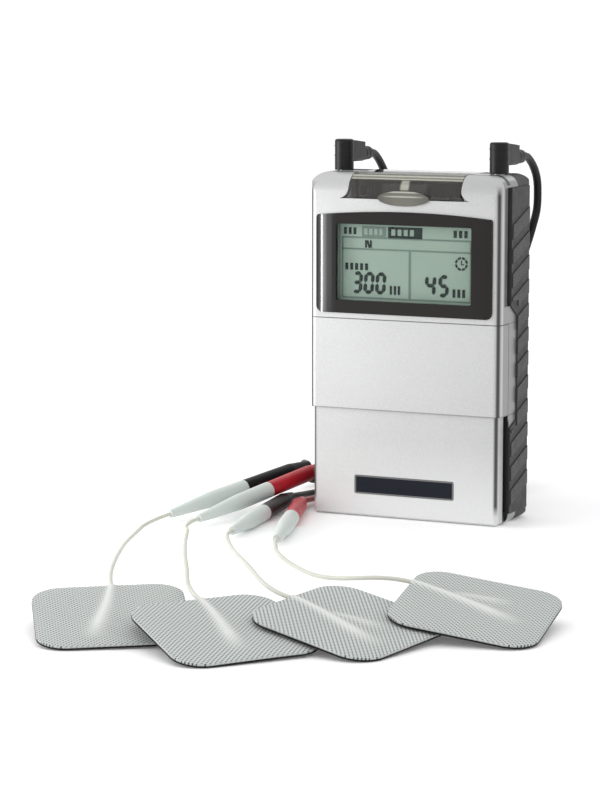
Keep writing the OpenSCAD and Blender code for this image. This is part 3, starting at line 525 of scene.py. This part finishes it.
MATERIALS = {
    "silver_paint": silver_paint(),
    "dark_plastic": varied("dark_plastic", (0.035, 0.035, 0.036), 0.55, 1800.0, 0.12, 0.35, 0.00006,
                           Specular_IOR_Level=0.35),
    "grip_rubber": grip_rubber(),
    "gloss_black": gloss_black(),
    "clear_window": clear_window(),
    "lcd": lcd_face(),
    "zebra_rubber": varied("zebra_rubber", (0.4, 0.18, 0.2), 0.7),
    "smoky_clear": smoky_clear(),
    "steel": varied("steel", (0.62, 0.61, 0.58), 0.28, 1500.0, 0.05, 0.1, 0.00003, Metallic=1.0),
    "black_plastic": varied("black_plastic", (0.010, 0.010, 0.011), 0.38, 2000.0, 0.12, 0.25,
                            Specular_IOR_Level=0.2),
    "pot_body": varied("pot_body", (0.02, 0.06, 0.25), 0.5),
    "board": board_green(),
    "battery_case": varied("battery_case", (0.35, 0.22, 0.06), 0.35, 900.0, 0.1, 0.1, 0.00003, Metallic=0.6),
    "black_cable": varied("black_cable", (0.007, 0.007, 0.008), 0.38, 1600.0, 0.15, 0.2,
                          Specular_IOR_Level=0.2),
    "red_plastic": varied("red_plastic", (0.40, 0.010, 0.020), 0.34, 1600.0, 0.1, Specular_IOR_Level=0.35),
    "white_plastic": varied("white_plastic", (0.56, 0.61, 0.585), 0.45, 1600.0, 0.04,
                            Subsurface_Weight=0.1, Subsurface_Scale=0.002),
    "white_cable": varied("white_cable", (0.56, 0.565, 0.50), 0.45, 1600.0, 0.05, 0.15, 0.00003,
                          Subsurface_Weight=0.1, Subsurface_Scale=0.001),
    "pad_cloth": pad_cloth(),
}
INK = varied("lcd_ink", (0.012, 0.020, 0.018), 0.6, 900.0, 0.1, 0.05, 0.00001, Specular_IOR_Level=0.1)
GREY_INK = varied("lcd_grey_ink", (0.115, 0.165, 0.14), 0.6, 900.0, 0.1, 0.05, 0.00001,
                  Specular_IOR_Level=0.1)
FILM = varied("pad_film", (0.008, 0.008, 0.009), 0.6, 1500.0, 0.1, 0.2, Specular_IOR_Level=0.2)

for part in frame["record"]["subparts"]:
    node = frame["nodes"][part["node"]]
    material = MATERIALS[part["material_slot"]]
    if node.material_slots:
        for s in node.material_slots:
            s.material = material
    else:
        node.data.materials.append(material)

# ---------------------------------------------------------------- cord routes of the CAD model, millimetres
PLUG_X, START_Y, ARM_Z = 24.5, 17.15, 105.35
LEAD_R, BRANCH_R, WIRE_R = 1.2, 0.95, 0.55
LIFT = 0.08
FLOOR, BRANCH_Z = LEAD_R + LIFT, BRANCH_R + LIFT
COIL_MID, TURNS_WIDE, TURNS_HIGH = 12.0, 4, 3
SIDE_GAP, STACK_GAP = 0.03, 0.02
COIL_STEPS = 28
COIL_START = 0.08
LONG_STEPS, SHORT_STEPS = 10, 8
ENTRY_RISE, ENTRY_TURN = 1.2, 1 / 6
LAY = 25.5
COILS = {"left": (-41, 69), "right": (-6, 49)}
DROPS = {
    "left": [(-PLUG_X, START_Y - 1, ARM_Z), (-PLUG_X, START_Y + 2, ARM_Z), (-24.5, 22.6, 104.4),
             (-24.5, 26.6, 101.6), (-24.3, 30, 97.6), (-23.8, 31, 92), (-22.8, 30, 82), (-21.6, 28, 62),
             (-21.6, 29, 38), (-22.6, 34, 16), (-24.6, 46, 9.8), (-28.6, 58, 9.4), (-32, 67, 8.6)],
    "right": [(PLUG_X, START_Y - 1, ARM_Z), (PLUG_X, START_Y + 2, ARM_Z), (24.6, 22.8, 104.6),
              (24.7, 27, 101.8), (24.7, 29.9, 98.2), (24.6, 31, 94), (24.6, 30.4, 89), (24.2, 28.4, 84.4),
              (23.2, 26.6, 79), (21, 25.2, 71), (18.6, 25, 61), (15.6, 24.4, 40), (12.6, 27, 20),
              (9.4, 33, 11.4), (5.6, 41, 9.4), (3, 47.6, 8.6)],
}
TAILS = {
    "left": [(-56.4, 62, FLOOR), (-54.2, 55.6, FLOOR), (-51.8, 50.6, FLOOR), (-49.6, 46.6, FLOOR)],
    "right": [(-13, 63.8, FLOOR), (-19.4, 59.6, FLOOR), (-23.6, 53.6, FLOOR), (-26.2, 47, FLOOR)],
}
TAIL_TURN = {"left": 0.5, "right": 0.25}
TIPS = [(-60.5, -43, 2.2), (-49.5, -46, 2.2), (-32, -59, 2.2), (-15.5, -64, 2.1)]
ENDS = [(-40.9, 10, 10.4), (-35.5, 10.5, 10.2), (-39.9, -4, 2.9), (-33.9, -9, 2.8)]
BRANCHES = [
    [(-48.5, 37.9, BRANCH_Z), (-50, 31, 2), (-49.6, 25, 5.6), (-46.5, 18.5, 9.4), ENDS[0]],
    [(-45.7, 38.5, BRANCH_Z), (-43.8, 31, 2.4), (-41, 24, 6.8), (-38, 17, 10), ENDS[1]],
    [(-30.9, 38.3, BRANCH_Z), (-34.4, 30.6, BRANCH_Z), (-38.6, 22, BRANCH_Z), (-40.6, 10, 1.6), ENDS[2]],
    [(-28.2, 38.5, BRANCH_Z), (-30.2, 30, BRANCH_Z), (-33.8, 20, BRANCH_Z), (-35, 5, 1.6), ENDS[3]],
]
PAD_W, PAD_R, PAD_T = 37.0, 7.5, 1.1
# Each pad: its centre, its turn about its own axis, its lift at the rear and its lean to the side, in degrees
PADS = [((-80.45, -162, 4.16), 7.6, 10.3, 0.2), ((-52.8, -177.55, 4.22), 26.1, 9.9, 3.9),
        ((-23.5, -171, 4.58), 52, 9, 5.4), ((7.1, -160.15, 5.47), 72.4, 10.75, 4.8)]
WIRE_WAYS = [
    [(-77.8, -18.7, 1.3), (-79.6, -24.3, 1.2), (-81, -32.1, 1.3), (-82.5, -49.8, 2), (-83, -68.2, 3.9),
     (-82.7, -86.9, 6), (-82.5, -105.6, 8.1), (-82.2, -124.2, 9), (-82, -133.3, 8.8)],
    [(-67.7, -26.6, 1.2), (-67.6, -32.2, 1.3), (-66.9, -39.9, 2.2), (-66.7, -59.5, 3.8), (-66, -80.1, 5.6),
     (-65.2, -101.1, 7.5), (-64.1, -121.9, 8.8), (-62.2, -142, 9.5), (-62, -150.7, 9.2)],
    [(-55.6, -47.2, 2.1), (-55.2, -53.7, 2.3), (-54.6, -62.5, 3), (-53.5, -79.2, 4.8), (-52.2, -96.2, 7),
     (-50.7, -113, 9), (-48.4, -129.2, 10.2), (-44.9, -143.9, 11.1), (-42.9, -151.5, 10)],
    [(-42, -59.1, 2.1), (-41.6, -65.8, 2.2), (-41.1, -74.8, 2.5), (-39.3, -89, 3.7), (-36.8, -103, 5),
     (-33.6, -116.4, 5.9), (-29.1, -128.5, 6.7), (-22.8, -138.5, 7.4), (-17, -143.2, 9.3)],
]
WIRE_ENDS = [1.4, 1.8, 1.2, 8.2]


def lay_matrix():
    """The turn of the laid-out pads and wires about the origin."""
    return Matrix.Rotation(math.radians(LAY), 4, "Z")


def pad_matrix(i):
    """The pad's own frame in millimetres: x and y along its sides, z out of its cloth."""
    centre, turn, lift, lean = PADS[i]
    return (lay_matrix() @ Matrix.Translation(centre) @ Matrix.Rotation(math.radians(lean), 4, "Y")
            @ Matrix.Rotation(math.radians(lift), 4, "X") @ Matrix.Rotation(math.radians(turn), 4, "Z"))


def socket_direction(i):
    """Out along the socket, from its sleeve to the tip that the wire leaves."""
    return (Vector(TIPS[i]) - Vector(ENDS[i])).normalized()


def wire_route(i):
    """One pigtail's points, from inside its socket's tip to inside its pad's rear edge."""
    m = pad_matrix(i)
    tip, along = Vector(TIPS[i]), socket_direction(i)
    at_socket = [tip - 0.6 * along, tip + 3.4 * along]
    at_pad = [m @ Vector((WIRE_ENDS[i], PAD_W / 2 + out, 0.1)) for out in (4, -0.8)]
    return at_socket + [lay_matrix() @ Vector(p) for p in WIRE_WAYS[i]] + at_pad


def in_metres(path):
    return [Vector(p) * MM for p in path]


def coil_stops(side):
    """Each turn's radius and height: out along the top, in along the middle, out on the floor."""
    step_r, step_z = 2 * LEAD_R + SIDE_GAP, 2 * LEAD_R + STACK_GAP
    radii = [COIL_MID + (j - (TURNS_WIDE - 1) / 2) * step_r for j in range(TURNS_WIDE)]
    stops = []
    for layer in range(TURNS_HIGH - 1, -1, -1):
        order = radii if (TURNS_HIGH - 1 - layer) % 2 == 0 else radii[::-1]
        stops += [(r, FLOOR + layer * step_z) for r in order]
    return stops


def coil_path(side):
    """The turns of one coil; the cord steps over to its next turn in the last quarter of each."""
    cx, cy = COILS[side]
    stops = coil_stops(side)
    total = len(stops) + TAIL_TURN[side] - 0.25
    out = []
    for k in range(int(total * COIL_STEPS) + 1):
        turn = k / COIL_STEPS
        i = min(int(turn), len(stops) - 1)
        j = min(i + 1, len(stops) - 1)
        share = eased(min(1.0, max(0.0, (turn - i) * 4 - 3)) if i < len(stops) - 1 else 0.0)
        r = stops[i][0] + (stops[j][0] - stops[i][0]) * share
        z = stops[i][1] + (stops[j][1] - stops[i][1]) * share
        a = math.tau * (turn + COIL_START)
        entry = max(0.0, 1 - turn / ENTRY_TURN)
        out.append(Vector((cx + r * math.cos(a), cy + r * math.sin(a), z + ENTRY_RISE * entry * entry)))
    return out


def lead_path(side):
    """The whole lead: down from the plug, round the coil and on to the split."""
    cx, cy = COILS[side]
    turns = coil_path(side)
    goal = TAIL_TURN[side] * math.tau
    while True:
        v = turns[-1] - Vector((cx, cy, 0))
        if abs(math.remainder(math.atan2(v.y, v.x) - goal, math.tau)) < math.tau / COIL_STEPS:
            break
        turns.pop()
    drop = catmull(DROPS[side] + [tuple(turns[1])], LONG_STEPS)[:-1]
    tail = catmull([tuple(turns[-1])] + TAILS[side], SHORT_STEPS)[1:]
    return drop + turns[1:] + tail


# ---------------------------------------------------------------- cords


def make_lead(side):
    """One lead: a tube from its plug, round its coil and on to the split; the CAD cord and coil are hidden."""
    path = in_metres(lead_path(side))
    lead = tube(f"lead_cable_{side}", path, LEAD_R * MM, MATERIALS["black_cable"])
    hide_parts(f"lead_cord_{side}", f"lead_coil_{side}")
    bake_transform(lead)


def make_branch(i):
    """One short branch from a lead's split to a sleeve: black and red by turns."""
    path = in_metres(catmull(BRANCHES[i], SHORT_STEPS))
    colour = "red_plastic" if i % 2 == 1 else "black_cable"
    wire = tube(f"branch_cable_{i + 1}", path, BRANCH_R * MM, MATERIALS[colour])
    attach(wire, "unit")
    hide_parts("branch_cords")


def make_pigtail(i):
    """One white wire from its pad to its socket, as a tube along its faired route; the CAD wire is hidden."""
    path = in_metres(faired(catmull(wire_route(i), LONG_STEPS)))
    wire = tube(f"pigtail_{i + 1}", path, WIRE_R * MM, MATERIALS["white_cable"])
    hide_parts(f"pigtail_wire_{i + 1}")
    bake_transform(wire)


make_lead("left")
make_lead("right")
for i in range(4):
    make_branch(i)
    make_pigtail(i)

# ---------------------------------------------------------------- electrode pads, in millimetres
CLOTH_GRID = 150
CLOTH_TOP, CLOTH_LOW = PAD_T / 2, -0.08
EDGE_WIDTH, EDGE_DROP = 1 / 8, 0.14
CLEAR_OF_FLOOR = 0.03
CORNER_POINTS = 10
RIDGE_WIDTH, RIDGE_SPREAD, RIDGE_LIFT = 0.9, 1.3, 0.5
RIDGE_WOBBLE, RIDGE_FADE = 0.35, 0.3
WAVE = 0.10
# The film's rings, from the cloth down: their height and how far they stand inside the pad's outline
FILM_RINGS = [(-0.09, 0.1), (-0.14, -0.1), (-CLOTH_TOP + 0.12, -0.1), (-CLOTH_TOP, 0.05)]
# Each wire's buried strands: where one starts and ends on the pad (x, y, x, y), and its strength
STRANDS = [
    [(1.4, 18.5, -5.0, -15.5, 1.0)],
    [(1.8, 18.5, -1.5, -14.0, 1.0)],
    [(1.2, 18.5, -6.5, -15.0, 1.0), (-0.6, 8.0, 3.8, -9.0, 0.55)],
    [(8.2, 18.5, -4.5, -13.0, 1.0), (4.8, 10.0, 7.0, -8.0, 0.55)],
]


def pad_outline(inset):
    """The pad's outline as points, anticlockwise; its corner radius is drawn in with it."""
    half, r = PAD_W / 2 - inset, PAD_R - inset
    out = []
    for q, (sx, sy) in enumerate(((1, 1), (-1, 1), (-1, -1), (1, -1))):
        for k in range(CORNER_POINTS + 1):
            a = math.pi / 2 * (q + k / CORNER_POINTS)
            out.append((sx * (half - r) + r * math.cos(a), sy * (half - r) + r * math.sin(a)))
    return out


def on_pad(x, y):
    """Maps the square from -1 to 1 onto the rounded pad, with its rows kept even."""
    half, straight = PAD_W / 2, PAD_W / 2 - PAD_R
    px, py = x * half, y * half
    ax, ay = abs(px) - straight, abs(py) - straight
    if ax > 0 and ay > 0:
        k = max(ax, ay) / math.hypot(ax, ay)
        px = math.copysign(straight + ax * k, px)
        py = math.copysign(straight + ay * k, py)
    return px, py


def ridge_at(i, x, y):
    """How strongly the buried wire shows, 0 to 1: it runs in from the rear edge, spreads and fades."""
    best = 0.0
    for x0, y0, x1, y1, strength in STRANDS[i]:
        dx, dy = x1 - x0, y1 - y0
        length = math.hypot(dx, dy)
        t = ((x - x0) * dx + (y - y0) * dy) / length ** 2
        if t < -0.05 or t > 1.0:
            continue
        off = ((x - x0) * dy - (y - y0) * dx) / length + RIDGE_WOBBLE * math.sin(5 * t)
        width = RIDGE_WIDTH + RIDGE_SPREAD * max(0.0, t)
        enters_at_edge = strength == 1.0
        fade_in = 1.0 if enters_at_edge else min(1.0, max(0.0, t) / RIDGE_FADE)
        fade_out = min(1.0, (1.0 - t) / RIDGE_FADE)
        best = max(best, strength * fade_in * fade_out * math.exp(-(off / width) ** 2))
    return best


def pad_wave(i, x, y):
    """A slow unevenness of the laid cloth."""
    return WAVE * math.sin(0.13 * x + i) * math.cos(0.11 * y + 2 * i)


def above_floor(i, x, y, z):
    """A point of the pad in metres, kept just clear of the floor."""
    m = pad_matrix(i)
    p = m @ Vector((x, y, z))
    p.z = max(p.z, CLEAR_OF_FLOOR)
    return (m.inverted() @ p) * MM


def cloth_layer(i, upper):
    """The points of the cloth's upper or lower face, and how strongly the buried wire shows at each."""
    n = CLOTH_GRID
    points, lifts = [], []
    for a in range(n + 1):
        for b in range(n + 1):
            x, y = on_pad(2 * a / n - 1, 2 * b / n - 1)
            edge = min(1.0, min(a, n - a, b, n - b) / (EDGE_WIDTH * n))
            lift = ridge_at(i, x, y) if upper else 0.0
            level = CLOTH_TOP - EDGE_DROP * (1 - edge) ** 2 if upper else CLOTH_LOW
            points.append(above_floor(i, x, y, level + RIDGE_LIFT * lift + pad_wave(i, x, y)))
            lifts.append(lift)
    return points, lifts


def cloth_faces():
    """The upper face, the lower face and the edge round the cloth."""
    n = CLOTH_GRID
    row = n + 1

    def upper(a, b):
        return a * row + b

    def lower(a, b):
        return row * row + a * row + b

    faces = []
    for a in range(n):
        for b in range(n):
            faces.append((upper(a, b), upper(a + 1, b), upper(a + 1, b + 1), upper(a, b + 1)))
            faces.append((lower(a, b), lower(a, b + 1), lower(a + 1, b + 1), lower(a + 1, b)))
    for k in range(n):
        sides = (((k, 0), (k + 1, 0)), ((n, k), (n, k + 1)), ((k + 1, n), (k, n)), ((0, k + 1), (0, k)))
        for start, end in sides:
            faces.append((upper(*start), lower(*start), lower(*end), upper(*end)))
    return faces


def place_of_pad(i):
    return Matrix.Translation(pad_matrix(i).translation * MM) @ pad_matrix(i).to_3x3().to_4x4()


def make_cloth(i):
    """The white knit cloth, shaped directly: a stiff laminate that lies flat with a slow wave."""
    upper, lift = cloth_layer(i, True)
    lower, no_lift = cloth_layer(i, False)
    cloth = new_object(f"pad_cloth_{i + 1}", upper + lower, cloth_faces(), MATERIALS["pad_cloth"])
    attribute = cloth.data.attributes.new("ridge", "FLOAT", "POINT")
    attribute.data.foreach_set("value", lift + no_lift)
    cloth.matrix_world = place_of_pad(i)
    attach(cloth, "unit")
    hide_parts(f"pad_{i + 1}")


def make_film(i):
    """The black conductive film and gel under the cloth."""
    verts, faces = [], []
    for z, inset in FILM_RINGS:
        for x, y in pad_outline(inset):
            verts.append(above_floor(i, x, y, z + pad_wave(i, x, y)))
    last = len(FILM_RINGS) - 1
    count = len(verts) // len(FILM_RINGS)
    for ring in range(last):
        for k in range(count):
            m = (k + 1) % count
            here, below = ring * count, (ring + 1) * count
            faces.append((here + k, below + k, below + m, here + m))
    faces.append(tuple(range(count)))
    faces.append(tuple(last * count + k for k in range(count - 1, -1, -1)))
    gel = new_object(f"pad_film_{i + 1}", verts, faces, FILM, smooth=False)
    gel.matrix_world = place_of_pad(i)
    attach(gel, "unit")


for i in range(4):
    make_cloth(i)
    make_film(i)

# ---------------------------------------------------------------- display content, in millimetres
LCD_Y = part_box("display_glass")[0][1] / MM
INK_DEPTH = 0.05
SEGMENTS = {"0": "abcdef", "3": "abcdg", "4": "bcfg", "5": "acdfg"}
DIGIT_Z, DIGIT_H, STROKE = 65.8, 6.5, 1.15
STROKE_GAP, DIGIT_LEAN = 0.05, 0.07
# Each numeral: its left end and its width
DIGITS = [("3", -17.3, 3.35), ("0", -17.3 + 3.72, 3.35), ("0", -17.3 + 2 * 3.72, 3.35),
          ("4", 5.7, 3.5), ("5", 9.9, 3.4)]
# Each word stands as a row of small plain bars: left end, foot, width, height and number of bars
WORDS = [(-19.3, 72.7, 7.9, 2.0, 5), (-5.1, 65.9, 3.8, 2.6, 3), (14.6, 65.9, 4.5, 2.4, 3),
         (-19.7, 83.1, 4.5, 2.0, 3), (14.8, 83.1, 5.0, 2.1, 3)]
TAB_WORDS = [(-13.2, 83.1, 6.3, 1.8, 4), (-4.6, 83.1, 7.8, 1.8, 4)]
# Rules and frames: left end, foot, right end and top of each
RULES = [(-20.4, 81.95, 20.4, 82.5), (-20.4, 78.6, 20.4, 79.15), (-20.4, 64.4, 20.4, 64.9),
         (0.8, 64.9, 1.6, 78.6), (-20.4, 64.9, -19.9, 81.95), (19.9, 64.9, 20.4, 81.95),
         (-13.95, 82.5, -6.3, 85.6), (-21.2, 64.0, -20.9, 86.3), (-21.2, 86.0, 21.2, 86.3)]
DARK_TAB = (-5.7, 82.3, 5.1, 85.6)
CLOCK_X, CLOCK_Z = 17.3, 75.7
MODE_LOW, MODE_HIGH = 79.3, 81.5


def ink_piece(name, shapes, material, y=LCD_Y):
    """Flat shapes on the display, each a list of (x, z) corners."""
    verts, faces = [], []
    for shape in shapes:
        base, k = len(verts), len(shape)
        for depth in (y - INK_DEPTH, y - 0.005):
            verts += [mm(x, depth, z) for x, z in shape]
        faces.append(tuple(base + j for j in range(k)))
        faces.append(tuple(base + k + j for j in range(k - 1, -1, -1)))
        for j in range(k):
            m = (j + 1) % k
            faces.append((base + j, base + k + j, base + k + m, base + m))
    obj = new_object(name, verts, faces, material, smooth=False)
    bm = bmesh.new()
    bm.from_mesh(obj.data)
    bmesh.ops.recalc_face_normals(bm, faces=bm.faces)
    bm.to_mesh(obj.data)
    bm.free()
    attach(obj, "unit")


def rect(x0, z0, x1, z1):
    return [(x0, z0), (x1, z0), (x1, z1), (x0, z1)]


def flat_stroke(x0, x1, z):
    """A level stroke of a numeral, pointed at both ends."""
    h = STROKE / 2
    return [(x0, z), (x0 + h, z + h), (x1 - h, z + h), (x1, z), (x1 - h, z - h), (x0 + h, z - h)]


def tall_stroke(x, z0, z1):
    """An upright stroke of a numeral, pointed at both ends."""
    h = STROKE / 2
    return [(x, z0), (x + h, z0 + h), (x + h, z1 - h), (x, z1), (x - h, z1 - h), (x - h, z0 + h)]


def digit(char, x, w):
    """A seven-segment numeral with its left end at x."""
    half, mid, g = STROKE / 2, DIGIT_H / 2, STROKE_GAP
    left, right = half, w - half
    low, high = half, DIGIT_H - half
    strokes = {"a": flat_stroke(left + g, right - g, high), "g": flat_stroke(left + g, right - g, mid),
               "d": flat_stroke(left + g, right - g, low),
               "f": tall_stroke(left, mid + g, high - g), "b": tall_stroke(right, mid + g, high - g),
               "e": tall_stroke(left, low + g, mid - g), "c": tall_stroke(right, low + g, mid - g)}
    return [[(x + px + DIGIT_LEAN * pz, DIGIT_Z + pz) for px, pz in strokes[k]] for k in SEGMENTS[char]]


def ring(cx, cz, r0, r1, parts=8, share=0.8):
    """A ring of short arcs, with gaps between them."""
    out = []
    for k in range(parts):
        a0 = math.tau * (k + 0.5 - share / 2) / parts
        a1 = math.tau * (k + 0.5 + share / 2) / parts
        arc = [a0 + (a1 - a0) * j / 4 for j in range(5)]
        out.append([(cx + r1 * math.cos(a), cz + r1 * math.sin(a)) for a in arc]
                   + [(cx + r0 * math.cos(a), cz + r0 * math.sin(a)) for a in reversed(arc)])
    return out


def bars(x, z, w, h, count):
    step = w / count
    return [rect(x + k * step, z, x + (k + 0.62) * step, z + h) for k in range(count)]


def clock_mark():
    """A dashed ring with two hands."""
    x, z = CLOCK_X, CLOCK_Z
    hands = [rect(x - 0.15, z - 0.2, x + 0.2, z + 1.0), rect(x - 0.15, z - 0.4, x + 0.8, z - 0.05)]
    return ring(x, z, 1.35, 2.0) + hands


def mode_letter():
    """The letter N: two posts and a slanting stroke."""
    return [rect(-13.0, MODE_LOW, -12.35, MODE_HIGH), rect(-11.45, MODE_LOW, -10.8, MODE_HIGH),
            [(-12.6, MODE_HIGH), (-11.9, MODE_HIGH), (-11.2, MODE_LOW), (-11.9, MODE_LOW)]]


figures = []
for char, x, width in DIGITS:
    figures += digit(char, x, width)
figures += clock_mark()
for word in WORDS:
    figures += bars(*word)
figures += mode_letter() + [rect(*DARK_TAB)]
ink_piece("display_figures", figures, INK)
ink_piece("display_lines", [rect(*rule) for rule in RULES], GREY_INK)
tab_marks = [bar for word in TAB_WORDS for bar in bars(*word)]
ink_piece("display_tab_marks", tab_marks, MATERIALS["lcd"], LCD_Y - 0.06)

# ---------------------------------------------------------------- softened edges on the CAD parts


def soften(node, width, segments):
    """Rounds a node's sharp edges by a modifier; width is in millimetres."""
    bevel = frame["nodes"][node].modifiers.new("edge", "BEVEL")
    bevel.width = width * MM
    bevel.segments = segments
    bevel.limit_method = "ANGLE"
    bevel.angle_limit = math.radians(34)


soften("display_bezel", 0.45, 4)
soften("name_plate", 0.12, 2)

# ---------------------------------------------------------------- studio, in metres
FLOOR_HALF = 6.0
WHITE = (1.0, 1.0, 1.0, 1.0)


def make_floor():
    """A white floor that glows slightly, so that it meets the white world without a line."""
    material = varied("floor", (0.965, 0.965, 0.965), 0.6, 900.0, 0.01, 0.02, 0.00001,
                      Emission_Color=WHITE, Emission_Strength=0.07)
    s = FLOOR_HALF
    floor = new_object("floor", [(-s, -s, 0), (s, -s, 0), (s, s, 0), (-s, s, 0)], [(0, 1, 2, 3)], material)


def make_world():
    world = bpy.data.worlds.new("world")
    bpy.context.scene.world = world
    world.use_nodes = True
    background = world.node_tree.nodes["Background"]
    background.inputs["Color"].default_value = WHITE
    background.inputs["Strength"].default_value = 1.05


def area_light(name, place, target, size, power):
    data = bpy.data.lights.new(name, "AREA")
    data.shape = "RECTANGLE"
    data.size, data.size_y = size
    data.energy = power
    obj = bpy.data.objects.new(name, data)
    bpy.context.collection.objects.link(obj)
    obj.location = place
    obj.rotation_euler = (Vector(target) - Vector(place)).to_track_quat("-Z", "Y").to_euler()


make_floor()
make_world()
area_light("key", (-0.45, -0.40, 0.12), (0, 0, 0.03), (0.4, 0.25), 0.95)
area_light("top", (0.0, 0.2, 1.2), (0, 0, 0.0), (1.2, 1.2), 0.7)
area_light("strip", (-0.20, -0.10, 0.085), (-0.025, -0.012, 0.08), (0.022, 0.14), 0.165)
